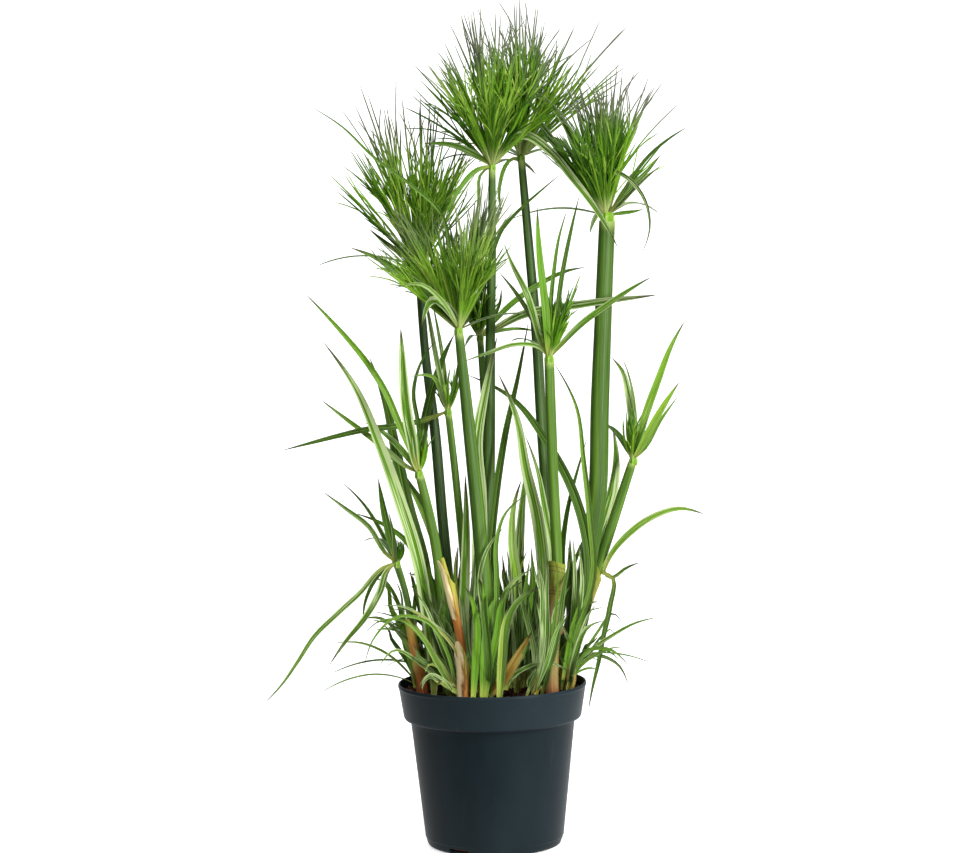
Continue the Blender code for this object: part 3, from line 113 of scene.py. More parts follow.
# Blades
SHARP = 0.8  # the least cosine between edges that meet in a limb's tip
BLADE_STEP = 7 * MM
LEAST_WIDTH = 0.3 * MM
FOLD = 0.17  # how deep a blade's crease lies, as a share of its width
BLADE_THICKNESS = 0.45 * MM
EDGE_THICKNESS = 0.14 * MM
SECTION = (-1.0, -0.55, 0.0, 0.55, 1.0)  # places across a blade, from one edge to the other
UNDERSIDE = (3, 2, 1)  # those of them that its underside has too
CREASE = math.radians(34)  # edges sharper than this stay sharp
BLUNTNESS = 4  # how late the young leaves that are drawn one by one begin to narrow
BASAL_SCALES = 3
LIMB_SPREAD = 57.0  # how far apart in a noise limbs of unlike shade lie

# How much wider than its solid a blade is at its root, and how much more at its tip
FULLER = (1.12, 0.30)  # bracts, leaves of sheaths, scales and small young leaves
SLIM = (0.85, 0.25)  # young leaves
SLIMMEST = (0.62, 0.20)  # bracts and leaves that the front view shows as very slim
FULL = (1.35, 0.40)  # long leaves
BROAD = (1.5, 0.6)  # the broadest of them
BROADEST = (1.7, 1.5)  # a folded leaf
BROAD_LEAVES = ("leaf_middle_folded", "leaf_middle_pale")

# Tufts: how many small leaves each has between its own, and how much paler some are: their own paler green
# and painted light on the clump's left
TUFT_EXTRAS = {"tuft_front": 10, "tuft_left": 10, "tuft_middle": 4, "tuft_right": 7, "tuft_core_left": 20,
               "tuft_core_right": 18, "tuft_side_left": 6}
BACK_TUFT_EXTRAS = 14
TUFT_PALER_AND_PAINTED_LIGHT = {"tuft_left": 0.16, "tuft_side_left": 0.30}

# Rays and the threads that they fork into. Each pair of rows is places along and widths in millimetres.
RAY_STATIONS = 9
THREAD_STATIONS = 7
RAY_FACING = (0.31, -0.94, 0.12)
RAY_FLATNESS = 0.7
RAY_WIDTHS = ((0.0, 0.10, 0.35, 0.62, 0.82, 1.0), (1.4, 1.9, 2.7, 2.1, 1.5, 0.8))
THREAD_WIDTHS = ((0.0, 0.15, 0.45, 0.75, 1.0), (0.8, 1.25, 1.4, 1.15, 0.7))
THREAD_BEGINS = (0.30, 0.62)  # where on its ray a thread begins
THREAD_LENGTHS = (0.55, 1.06)  # as shares of what is left of its ray
THREAD_TURNS = (0.10, 0.42)  # how far it turns away from its ray
FORKS = (2, 3, 4)  # how many threads part from a ray of a big brush
FEW_FORKS = (0, 1, 2)  # and from a ray of a small one

# Brushes, by the number of their umbel, with what is usual for those that aren't named
BRUSH_RAYS = {1: 92, 2: 80, 3: 120, 4: 130, 10: 86, 5: 80, 6: 90, 7: 16, 8: 8, 9: 22, 11: 8}
BRUSH_FOCUS = {3: 3.0, 4: 0.3, 5: 0.3, 6: 0.3, 10: 1.5}  # how strongly the rays gather in the middle
USUAL_FOCUS = 4.5
RAY_DARKNESS = {1: 0.90, 2: 0.95, 3: 0.95, 4: 0.75, 10: 0.95}  # how dark the threads end
USUAL_DARKNESS = 0.2
RAY_SHADES = {1: 0.60, 2: 0.58, 3: 0.48, 4: 0.68, 10: 0.62}  # how light the rays are
USUAL_SHADE = 0.48
SHADE_SPREAD = 0.17
RAY_LENGTHS = {4: (0.72, 1.12)}  # the shortest and the longest ray between the solid's, as shares of those
USUAL_LENGTHS = (0.56, 1.06)

# Stems
STEM_SIDES = 24
STEM_STEP = 12 * MM
STEM_SWELL = 1.07  # how much thicker a stem is than its solid, whose sides are flat
STALK_FACING = (0.05, 1.0, 0.02)
STEM_TONES = {1: 0.30, 2: 0.22, 3: 0.48, 4: 0.45, 5: 0.42, 6: 0.58, 7: 0.62, 8: 0.60, 9: 0.62, 10: 0.08,
              11: 0.55}

Limb = namedtuple("Limb", "root centres widths ups tip")
Tone = namedtuple("Tone", "shade stripes age")

# Places on the sheet where leaves end that the front view shows with pale striping (partly painted
# highlight), or as dry, dark, green, slim or broad
STRIPED_AND_HIGHLIGHTED_ENDS = (
    (619, 250), (641, 255), (421, 328), (469, 308), (503.5, 242), (462, 362),
    (424, 290), (400.7, 327), (611, 357), (388, 510), (328, 667), (463, 596), (539, 587), (569, 670.5),
    (378, 606), (431, 620), (416, 692), (535.5, 556), (548, 556), (554, 584), (605, 620.5), (613, 618),
    (446, 568), (506, 566), (560, 606), (374, 568), (613, 428), (659.5, 294.6), (261.5, 706))
DRY_ENDS = ((532, 631),)
DARK_ENDS = ((368.7, 355), (384, 449), (280, 451), (455, 333), (529, 318), (464, 373.5), (588, 713),
             (563, 172), (580, 193), (691, 125))
GREEN_ENDS = ((306, 104), (445, 220), (502, 217))
SLIM_ENDS = ((261.5, 706), (306, 104), (563, 172), (445, 220), (502, 217), (691, 125))
BROAD_ENDS = ((613, 428),)
END_SLACK = 4.0  # how far an end may lie from its place on the sheet

# Looks of leaves: how light they are, how much pale striping they have (partly painted highlight), and how
# dry
LEAF_SHADE = (0.45, 0.19)  # the mean of leaves that end elsewhere, and how much they differ
# Leaves given pale striping get partly painted highlight with it.
STRIPED_AND_HIGHLIGHTED_SHARE = 0.35  # how many of those are striped
LOOKS = {
    "bright": Tone(0.62, 0.08, 0.0), "green": Tone(0.48, 0.25, 0.0), "dark": Tone(0.10, 0.12, 0.0),
    "striped": Tone(0.40, 0.95, 0.0), "lime": Tone(1.0, 0.50, 0.14), "straw": Tone(0.9, 0.9, 0.35),
}
# Leaves of the clump that no solid limb follows: depth, width, look, then places from the foot to the tip.
CLUMP_BLADES = {
    "tuft_front": (
        (-86, 8, "bright", (473, 701), (476, 655), (477, 625), (472, 600), (464, 585)),
        (-84, 7, "bright", (482, 701), (484, 655), (486, 620), (484, 590), (482, 572)),
        (-82, 7, "bright", (485, 701), (491, 660), (497, 632), (500, 606), (506, 590)),
        (-78, 7, "green", (500, 701), (504, 655), (507, 625), (515, 605), (528, 594), (541, 587)),
        (-50, 6, "dark", (478, 690), (481, 650), (482, 610), (479, 570)),
        (-40, 5, "striped", (466, 685), (465, 650), (463, 620), (460, 594)),
        (-80, 5, "lime", (498, 701), (500, 660), (503, 625), (509, 605)),
        (-70, 5, "green", (505, 690), (512, 672), (523, 655), (530, 640)),
        (-62, 4, "striped", (503, 690), (514, 675), (527, 667), (540, 663), (556, 664), (568, 672)),
        (-60, 4, "lime", (507, 690), (513, 668), (520, 650), (527, 640)),
        (-74, 3, "striped", (496, 682), (499, 668), (495, 660)),
    ),
    "tuft_left": (
        (-60, 6, "lime", (452, 688), (437, 662), (425, 640), (412, 620)),
        (-58, 5, "lime", (456, 690), (443, 668), (430, 650), (421, 628)),
        (-50, 5, "striped", (458, 690), (447, 660), (436, 632), (424, 604), (414, 590)),
        (-44, 4, "striped", (460, 690), (451, 655), (440, 622), (428, 600)),
        (-40, 5, "green", (456, 680), (446, 645), (434, 610), (424, 590)),
        (-36, 6, "dark", (452, 685), (440, 650), (430, 615), (422, 585)),
        (-34, 6, "green", (448, 680), (436, 640), (428, 600), (425, 565)),
        (-66, 3, "straw", (464, 672), (452, 645), (434, 626), (415, 612), (396, 607)),
        (-68, 2.5, "straw", (462, 690), (452, 684), (442, 682), (436, 688)),
        (-72, 2.5, "striped", (438, 683), (430, 677), (424, 682), (422, 692)),
        (-60, 3, "lime", (450, 678), (440, 668), (430, 664), (424, 676)),
        (-30, 5, "dark", (460, 680), (452, 640), (446, 600), (440, 570)),
        (-70, 5, "lime", (460, 694), (450, 688), (438, 682)),
    ),
    "tuft_middle": (
        (-58, 5, "striped", (541, 680), (542, 650), (541, 620), (535, 598)),
        (-56, 4, "striped", (543, 680), (545, 650), (547, 620), (549, 590)),
        (-50, 4, "striped", (540, 680), (540, 640), (542, 600), (535, 572), (533, 558)),
        (-48, 5, "dark", (536, 680), (533, 640), (529, 600)),
        (-44, 6, "green", (530, 680), (527, 650), (524, 622)),
        (-40, 5, "dark", (524, 680), (520, 640), (518, 600), (516, 575)),
        (-62, 4, "green", (545, 680), (553, 645), (562, 625), (570, 611)),
        (-55, 3.5, "green", (548, 640), (556, 610), (566, 592), (572, 584)),
        (-58, 5, "striped", (535, 692), (529, 684), (533, 674), (538, 667)),
    ),
    "tuft_right": (
        (-30, 5, "green", (568, 675), (574, 645), (581, 620), (590, 603), (602, 602)),
        (-36, 5, "bright", (563, 680), (568, 650), (573, 625), (580, 600)),
        (-26, 4, "striped", (570, 670), (577, 650), (583, 628), (590, 612), (597, 604)),
        (-20, 5, "dark", (572, 670), (576, 635), (578, 600), (577, 565)),
        (-16, 5, "striped", (573, 660), (578, 620), (582, 585), (578, 540)),
        (-10, 8, "dark", (566, 680), (570, 630), (572, 590), (568, 546)),
        (-14, 6, "striped", (570, 670), (573, 620), (575, 580), (573, 537)),
        (-8, 9, "green", (572, 670), (580, 625), (589, 585), (594, 550)),
        (-4, 7, "dark", (570, 670), (578, 630), (585, 595), (586, 548)),
        (-6, 10, "green", (570, 670), (571, 620), (570, 575), (570, 536)),
        (-40, 3, "green", (572, 676), (580, 660), (590, 650), (600, 648), (610, 652), (620, 661)),
        (-44, 2.5, "green", (573, 676), (582, 670), (592, 668), (599, 671)),
    ),
    "tuft_core_left": (
        (-20, 6, "dark", (456, 680), (452, 630), (446, 580), (441, 548)),
        (-14, 6, "dark", (466, 680), (464, 630), (464, 585), (466, 548)),
        (-24, 5, "green", (462, 680), (458, 630), (454, 590), (450, 556)),
        (-8, 6, "dark", (470, 680), (472, 630), (474, 585), (472, 545)),
        (-28, 5, "striped", (468, 670), (470, 620), (473, 580), (476, 540)),
        (4, 7, "dark", (446, 680), (436, 630), (430, 590), (428, 552)),
        (-18, 4, "lime", (458, 640), (457, 600), (455, 565), (458, 545)),
        (8, 6, "green", (450, 680), (444, 630), (436, 590), (425, 560)),
        (6, 8, "dark", (452, 680), (440, 630), (430, 590), (421, 550)),
        (10, 7, "green", (448, 680), (436, 635), (425, 600), (413, 560)),
        (2, 8, "bright", (455, 685), (442, 640), (433, 600), (427, 553)),
        (12, 6, "striped", (450, 680), (438, 640), (422, 590), (409, 547)),
        (14, 8, "dark", (444, 680), (430, 640), (418, 600), (409, 568)),
        (16, 9, "dark", (446, 660), (436, 620), (429, 585), (424, 546)),
        (18, 9, "green", (450, 660), (443, 620), (438, 580), (434, 542)),
        (20, 8, "dark", (452, 660), (448, 620), (444, 580), (441, 545)),
        (13, 6, "bright", (440, 660), (428, 625), (418, 598), (412, 572)),
    ),
    "tuft_core_right": (
        (-10, 7, "dark", (514, 680), (510, 630), (506, 590), (502, 552)),
        (-4, 7, "dark", (500, 680), (497, 630), (496, 590), (498, 550)),
        (-20, 5, "striped", (508, 670), (510, 620), (511, 580), (506, 545)),
        (-26, 6, "green", (518, 670), (522, 620), (526, 585), (530, 556)),
        (-14, 6, "dark", (528, 680), (532, 630), (537, 590), (540, 552)),
        (-32, 5, "striped", (520, 680), (517, 640), (513, 600), (512, 562)),
        (-20, 6, "green", (490, 670), (490, 620), (491, 580), (488, 546)),
        (-2, 5, "dark", (522, 680), (524, 630), (522, 580), (524, 540)),
        (-8, 5, "lime", (510, 660), (512, 610), (520, 570), (528, 548)),
        (-6, 8, "dark", (505, 680), (508, 630), (512, 590), (516, 541)),
        (2, 8, "dark", (515, 680), (518, 630), (520, 585), (511, 539)),
        (6, 8, "green", (525, 680), (530, 630), (533, 590), (531, 545)),
    ),
}

# Dry sheaths: node, stem, how olive, then the sleeves. Each has its begin and end as shares of the sheath's
# height, how far it stands off the stem in millimetres, and how deep its mouth is cut.
SLEEVES = (
    ("sheath_left", "stem_11", 0.0, ((0.0, 1.0, 0.9, 0.18), (0.0, 0.5, 1.8, 0.35))),
    ("sheath_middle", "stem_6", 1.0, ((0.0, 0.62, 0.9, 0.10), (0.45, 1.0, 2.4, 0.07))),
    ("sheath_right", "stem_9", 0.7, ((0.0, 1.0, 1.2, 0.15), (0.0, 0.45, 2.2, 0.30))),
)
SHEATH_RINGS = (0.56, 0.60, 0.87, 0.93)  # places along an olive sheath
SLEEVE_SIDES = 28
SLEEVE_ROWS = 22
SLEEVE_FLARE = 1.4  # how much further, in millimetres, a sleeve's foot stands off

# Stage
FLOOR_START = -0.2
FLOOR_END = 2.5  # where the floor starts to rise
FLOOR_BEND = 1.5  # the radius of the bend in which it rises
BACKDROP_TOP = 6.0
HALF_FLOOR = (0.52, 0.20)  # the floor's half width beside the pot, and how much it grows per metre back
FLOOR_GLOW = (0.64, 0.80)  # beside the pot and far behind it
GLOW_REACH = 1.5  # how far behind the pot the glow is full
SURROUNDINGS = ((-0.7, 0.9), (0.14, 0.32))  # directions to the left and to the right, and how bright they are

# Lights: name, place, aim, the two sides of each, and its power in watts
LIGHTS = (
    ("key", (2.2, -1.9, 2.2), (0, 0, 0.42), (0.9, 1.3), 108),
    ("front", (-0.3, -3.0, 2.0), (0, 0, 0.42), (1.0, 1.0), 58),
    ("back", (-0.8, 2.0, 2.4), (0, 0, 0.42), (2.0, 1.0), 25),
    ("low", (1.7, -2.0, 0.5), (0, 0, 0.2), (0.4, 1.0), 55),
)


# Reading the solids

def sight_axes():
    """The sheet's right and up directions in space, and the direction of sight."""
    level = np.array((1.0, 0.0, 0.0))
    rise = np.array((0.0, math.sin(EYE_TILT), math.cos(EYE_TILT)))
    right = math.cos(EYE_ROLL) * level - math.sin(EYE_ROLL) * rise
    up = math.sin(EYE_ROLL) * level + math.cos(EYE_ROLL) * rise
    ahead = np.array((0.0, math.cos(EYE_TILT), -math.sin(EYE_TILT)))
    return right, up, ahead


RIGHT, UP, AHEAD = sight_axes()
EYE = AIM - AHEAD * EYE_DISTANCE


def sheet_place(point):
    """Where the eye sees a point, given in metres, on the sheet."""
    sight = np.array(point) / MM - EYE
    on_sheet = sight * EYE_DISTANCE / (sight @ AHEAD)
    return np.array((SHEET_CENTRE[0] + on_sheet @ RIGHT, SHEET_CENTRE[1] - on_sheet @ UP))


def seen(place, depth):
    """The point, in metres, at y = depth that the eye sees at a place on the sheet."""
    on_sheet = AIM + RIGHT * (place[0] - SHEET_CENTRE[0]) + UP * (SHEET_CENTRE[1] - place[1])
    sight = on_sheet - EYE
    return (EYE + sight * (depth - EYE[1]) / sight[1]) * MM


def read_solid(node):
    """A CAD node's mesh, with corners at one place made one."""
    shape = bmesh.new()
    shape.from_mesh(frame["nodes"][node].data)
    bmesh.ops.remove_doubles(shape, verts=shape.verts, dist=WELD)
    shape.verts.index_update()
    return shape


def neighbours(corners):
    return {edge.other_vert(corner) for corner in corners for edge in corner.link_edges}


def is_sharp(tip, ring):
    """Whether a corner is a limb's tip: three edges meet in it, close together."""
    if len(ring) != 3:
        return False
    aims = [(corner.co - tip.co).normalized() for corner in ring]
    return min(aims[0].dot(aims[1]), aims[1].dot(aims[2]), aims[0].dot(aims[2])) > SHARP


def read_ring(ring):
    """A triangular ring's centre, width and upward direction. Its keel lies across from its longest side."""
    places = [np.array(corner.co) for corner in ring]
    sides = [np.linalg.norm(places[slot - 1] - places[slot - 2]) for slot in range(3)]
    keel = sides.index(max(sides))
    centre = (places[keel - 1] + places[keel - 2]) / 2
    return centre, max(sides), unit(centre - places[keel])


def follow_limb(tip, ring):
    """A limb's rings from its root to its tip, and all its corners."""
    rings, visited = [], {tip}
    while len(ring) == 3:
        rings.append(sorted(ring, key=lambda corner: corner.index))
        visited |= ring
        ring = neighbours(ring) - visited
    rings.reverse()
    return rings, visited


def read_limbs(node):
    """Every limb of a node's solid, and the corners that belong to no limb."""
    shape = read_solid(node)
    limbs, taken = [], set()
    for tip in shape.verts:
        ring = neighbours([tip])
        if not is_sharp(tip, ring):
            continue
        rings, visited = follow_limb(tip, ring)
        root = np.mean([np.array(corner.co) for corner in rings[0]], axis=0)
        centres, widths, ups = zip(*(read_ring(ring) for ring in rings[1:]))
        limbs.append(Limb(root, list(centres), list(widths), list(ups), np.array(tip.co)))
        taken |= visited - set(rings[0])
    rest = [np.array(corner.co) for corner in shape.verts if corner not in taken]
    shape.free()
    limbs.sort(key=lambda limb: tuple(np.round(limb.tip, 5)))
    return limbs, rest


def read_stem(node):
    """A stem's knots from its foot up: the middle point of each of its rings, and the ring's radius."""
    shape = read_solid(node)
    lowest = min(corner.co.z for corner in shape.verts)
    ring = {corner for corner in shape.verts if corner.co.z < lowest + MM}
    visited, knots = set(), []
    while ring:
        places = np.array([tuple(corner.co) for corner in sorted(ring, key=lambda corner: corner.index)])
        centre = places.mean(axis=0)
        knots.append((*centre, float(np.linalg.norm(places - centre, axis=1).max())))
        visited |= ring
        ring = neighbours(ring) - visited
    shape.free()
    return knots


# Curves

def unit(vector):
    return vector / max(float(np.linalg.norm(vector)), 1e-12)


def units(rows):
    return rows / np.maximum(np.linalg.norm(rows, axis=1), 1e-12)[:, None]


def knot_places(knots):
    """How far along, from 0 to 1, each knot lies."""
    steps = np.linalg.norm(np.diff(np.array(knots)[:, :3], axis=0), axis=1)
    reached = np.concatenate(([0.0], np.cumsum(steps)))
    return reached / reached[-1]


def along(knots, places):
    """Rows of a smooth curve through the knots, at places from 0 to 1. Knots may hold more than a point."""
    knots = np.array(knots, dtype=float)
    reached = knot_places(knots)
    steps = np.diff(reached)
    slopes = np.diff(knots, axis=0) / steps[:, None]
    before, after = steps[:-1, None], steps[1:, None]
    inner = (slopes[:-1] * after + slopes[1:] * before) / (before + after)
    first = slopes[0] if len(inner) == 0 else 1.5 * slopes[0] - 0.5 * inner[0]
    last = slopes[-1] if len(inner) == 0 else 1.5 * slopes[-1] - 0.5 * inner[-1]
    tangents = np.vstack((first[None], inner, last[None]))
    at = np.clip(np.asarray(places, dtype=float), 0, 1)
    cell = np.clip(np.searchsorted(reached, at, side="right") - 1, 0, len(steps) - 1)
    span = steps[cell][:, None]
    part = (at - reached[cell])[:, None] / span
    return (
        knots[cell] * (1 + 2 * part) * (1 - part) ** 2
        + knots[cell + 1] * part ** 2 * (3 - 2 * part)
        + tangents[cell] * span * part * (1 - part) ** 2
        - tangents[cell + 1] * span * part ** 2 * (1 - part)
    )


def path_length(knots):
    return float(np.linalg.norm(np.diff(np.array(knots)[:, :3], axis=0), axis=1).sum())


def spread_frames(points, ups, twist=0.0):
    """Directions across and up at each point of a curve, turned by a twist towards its end."""
    run = units(np.gradient(points, axis=0))
    across = units(np.cross(ups, run))
    up = np.cross(run, across)
    turn = (twist * np.linspace(0, 1, len(points)))[:, None]
    return across * np.cos(turn) + up * np.sin(turn), up * np.cos(turn) - across * np.sin(turn)


# Objects

def new_object(name, data):
    """A new object in the scene."""
    thing = bpy.data.objects.new(name, data)
    bpy.context.scene.collection.objects.link(thing)
    return thing


def take_mesh(name, shape):
    """A mesh with the faces of a bmesh, which is freed."""
    mesh = bpy.data.meshes.new(name)
    shape.to_mesh(mesh)
    shape.free()
    return mesh


def settle(piece, node):
    """A finished piece stands for its CAD node and rides with it."""
    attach(piece, "root")
    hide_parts(node)


# Skins

class Skin:
    """The faces of one piece, and what its material reads at each corner."""

    def __init__(self):
        self.corners = []
        self.faces = []
        self.across = []
        self.along = []
        self.tones = []

    def loft(self, rings, across, reached, tone, tip=None):
        """Closed skin over rings that run clockwise as seen from the end, which is flat or a point."""
        base = len(self.corners)
        count, sides = len(rings), len(rings[0])
        for ring, place in zip(rings, reached):
            self.corners.extend(map(tuple, ring))
            self.across.extend(across)
            self.along.extend([place] * sides)
        self.faces.append([base + side for side in range(sides)])
        for step in range(count - 1):
            low, high = base + step * sides, base + (step + 1) * sides
            for side in range(sides):
                after = (side + 1) % sides
                self.faces.append([low + side, high + side, high + after, low + after])
        last = base + (count - 1) * sides
        if tip is None:
            self.faces.append([last + side for side in range(sides - 1, -1, -1)])
        else:
            self.corners.append(tuple(tip))
            self.across.append(0.5)
            self.along.append(reached[-1])
            for side in range(sides):
                self.faces.append([last + side, len(self.corners) - 1, last + (side + 1) % sides])
        self.tones.extend([tuple(tone)] * (len(self.corners) - base))

    def blade(self, knots, ups, tone, twist=0.0, fuller=FULLER):
        """A folded leaf along knots of x, y, z and width, closed and pointed."""
        places = np.linspace(0, 1, max(8, round(path_length(knots) / BLADE_STEP)))
        samples = along(knots, places)
        points = samples[:, :3]
        widths = np.maximum(samples[:, 3] * (fuller[0] + fuller[1] * places), LEAST_WIDTH)
        at = knot_places(knots)
        facing = np.column_stack([np.interp(places, at, column) for column in np.array(ups).T])
        across, up = spread_frames(points, facing, twist)
        rings = []
        for point, width, side, rise in zip(points[:-1], widths, across, up):
            over = [point + side * s * width / 2 - rise * FOLD * width * (1 - abs(s)) for s in SECTION]
            over[0] = over[0] - rise * EDGE_THICKNESS
            under = [over[slot] - rise * BLADE_THICKNESS for slot in UNDERSIDE]
            rings.append(over + under)
        around = [(s + 1) / 2 for s in SECTION] + [(SECTION[slot] + 1) / 2 for slot in UNDERSIDE]
        self.loft(rings, around, places, tone, points[-1])

    def ray(self, knots, widths, tone, span=(0.0, 1.0), stations=RAY_STATIONS):
        """A slim ray of four sides. Its span is how far out it begins and ends."""
        places = np.linspace(0, 1, stations)
        points = along(knots, places)
        across, up = spread_frames(points, np.tile(unit(np.array(RAY_FACING)), (stations, 1)))
        wide = np.interp(places, *widths)[:, None] * MM / 2
        rings = [
            [point - side, point + rise * RAY_FLATNESS, point + side, point - rise * RAY_FLATNESS]
            for point, side, rise in zip(points[:-1], across * wide, up * wide)
        ]
        reached = span[0] + (span[1] - span[0]) * places
        self.loft(rings, (0.0, 0.5, 1.0, 0.5), reached, tone, points[-1])

    def stalk(self, points, radii, sides, tone, ribs, rib_depth):
        """A round stalk with flat ends and lengthwise ribs."""
        across, up = spread_frames(points, np.tile(STALK_FACING, (len(points), 1)))
        angles = -math.tau * np.arange(sides) / sides
        swell = (1 + rib_depth * np.cos(angles * ribs))[:, None]
        rings = [
            point + radius * swell * (np.cos(angles)[:, None] * side + np.sin(angles)[:, None] * rise)
            for point, radius, side, rise in zip(points, radii, across, up)
        ]
        self.loft(rings, once_around(sides), np.linspace(0, 1, len(points)), tone)

    def piece(self, name, material):
        """The skin as an object."""
        mesh = bpy.data.meshes.new(name)
        mesh.from_pydata(self.corners, [], self.faces)
        for label, values in (("across", self.across), ("along", self.along)):
            mesh.attributes.new(label, "FLOAT", "POINT").data.foreach_set("value", values)
        tones = mesh.attributes.new("tone", "FLOAT_VECTOR", "POINT")
        tones.data.foreach_set("vector", np.array(self.tones).ravel())
        mesh.shade_smooth()
        mesh.set_sharp_from_angle(angle=CREASE)
        mesh.materials.append(material)
        return new_object(name, mesh)


def once_around(sides):
    """Places across for the sides of a round piece, from 1 to 0 and back."""
    return [abs(2 * side / sides - 1) for side in range(sides)]


# Materials

class Graph:
    """A material's nodes, made a line at a time."""

    def __init__(self, name):
        self.material = bpy.data.materials.new(name)
        self.material.use_nodes = True
        self.tree = self.material.node_tree
        self.shader = self.tree.nodes["Principled BSDF"]

    def add(self, kind, **settings):
        node = self.tree.nodes.new(kind)
        for name, value in settings.items():
            setattr(node, name, value)
        return node

    def feed(self, socket, value):
        """Links a socket to another node's output, or sets it."""
        if isinstance(value, bpy.types.NodeSocket):
            self.tree.links.new(value, socket)
        else:
            socket.default_value = value

    def read(self, label):
        """A number stored at the mesh's corners."""
        return self.add("ShaderNodeAttribute", attribute_name=label).outputs["Fac"]

    def tone(self):
        """The shade, the pale striping (partly painted highlight) and the age of a blade."""
        parts = self.add("ShaderNodeSeparateXYZ")
        stored = self.add("ShaderNodeAttribute", attribute_name="tone")
        self.feed(parts.inputs[0], stored.outputs["Vector"])
        return parts.outputs

    def math(self, operation, one, other=0.0):
        node = self.add("ShaderNodeMath", operation=operation)
        self.feed(node.inputs[0], one)
        self.feed(node.inputs[1], other)
        return node.outputs[0]

    def times(self, one, other):
        return self.math("MULTIPLY", one, other)

    def plus(self, one, other):
        return self.math("ADD", one, other)

    def sway(self, value, size):
        """How far a noise is from its middle, times a size."""
        return self.times(self.math("SUBTRACT", value, 0.5), size)

    def off(self, value, middle):
        """How far a value is from a middle, either way."""
        return self.math("ABSOLUTE", self.math("SUBTRACT", value, middle))

    def between(self, value, low, high):
        """How far a value is from low to high, eased."""
        node = self.add("ShaderNodeMapRange", interpolation_type="SMOOTHSTEP")
        self.feed(node.inputs["Value"], value)
        node.inputs["From Min"].default_value = low
        node.inputs["From Max"].default_value = high
        return node.outputs[0]

    def ramp(self, value, *stops):
        """A colour for each value, from stops of a place and a colour."""
        node = self.add("ShaderNodeValToRGB")
        for _ in range(len(stops) - 2):
            node.color_ramp.elements.new(0.5)
        for element, (place, colour) in zip(node.color_ramp.elements, stops):
            element.position = place
            element.color = (*colour, 1)
        self.feed(node.inputs[0], value)
        return node.outputs[0]

    def mix(self, share, *colours):
        """A share of the second colour in the first."""
        node = self.add("ShaderNodeMix", data_type="RGBA")
        self.feed(node.inputs[0], share)
        for socket, colour in zip(node.inputs[6:8], colours):
            self.feed(socket, colour if isinstance(colour, bpy.types.NodeSocket) else (*colour, 1))
        return node.outputs[2]

    def cover(self, colour, share, strength, over):
        """A colour with another over it, by a share times a strength."""
        return self.mix(self.times(share, strength), colour, over)

    def places(self, scale=(1, 1, 1)):
        """The object's own coordinates, stretched."""
        node = self.add("ShaderNodeMapping")
        self.feed(node.inputs[0], self.add("ShaderNodeTexCoord").outputs["Object"])
        node.inputs["Scale"].default_value = scale
        return node.outputs[0]

    def place_on(self, axis):
        """The object's own coordinate on one axis."""
        parts = self.add("ShaderNodeSeparateXYZ")
        self.feed(parts.inputs[0], self.places())
        return parts.outputs[axis]

    def fibres(self, wide, long):
        """Coordinates that run across and along a limb, and differ from limb to limb."""
        node = self.add("ShaderNodeCombineXYZ")
        self.feed(node.inputs[0], self.times(self.read("across"), wide))
        self.feed(node.inputs[1], self.times(self.read("along"), long))
        self.feed(node.inputs[2], self.times(self.tone()[0], LIMB_SPREAD))
        return node.outputs[0]

    def noise(self, vector, scale=1.0, detail=3.0, roughness=0.55):
        node = self.add("ShaderNodeTexNoise")
        self.feed(node.inputs["Vector"], vector)
        node.inputs["Scale"].default_value = scale
        node.inputs["Detail"].default_value = detail
        node.inputs["Roughness"].default_value = roughness
        return node.outputs[0]

    def bump(self, height, distance, strength):
        node = self.add("ShaderNodeBump")
        self.feed(node.inputs["Height"], height)
        node.inputs["Distance"].default_value = distance
        node.inputs["Strength"].default_value = strength
        return node.outputs[0]

    def close(self, colour, roughness, normal, specular, translucent=0.0):
        """Feeds the shader, with part of the light passing through thin tissue."""
        self.feed(self.shader.inputs["Base Color"], colour)
        self.feed(self.shader.inputs["Roughness"], roughness)
        self.shader.inputs["Specular IOR Level"].default_value = specular
        if normal is not None:
            self.feed(self.shader.inputs["Normal"], normal)
        if translucent:
            through = self.add("ShaderNodeBsdfTranslucent")
            self.feed(through.inputs["Color"], colour)
            both = self.add("ShaderNodeMixShader")
            both.inputs[0].default_value = translucent
            self.feed(both.inputs[1], self.shader.outputs[0])
            self.feed(both.inputs[2], through.outputs[0])
            output = next(node for node in self.tree.nodes if node.type == "OUTPUT_MATERIAL")
            self.feed(output.inputs[0], both.outputs[0])
        return self.material


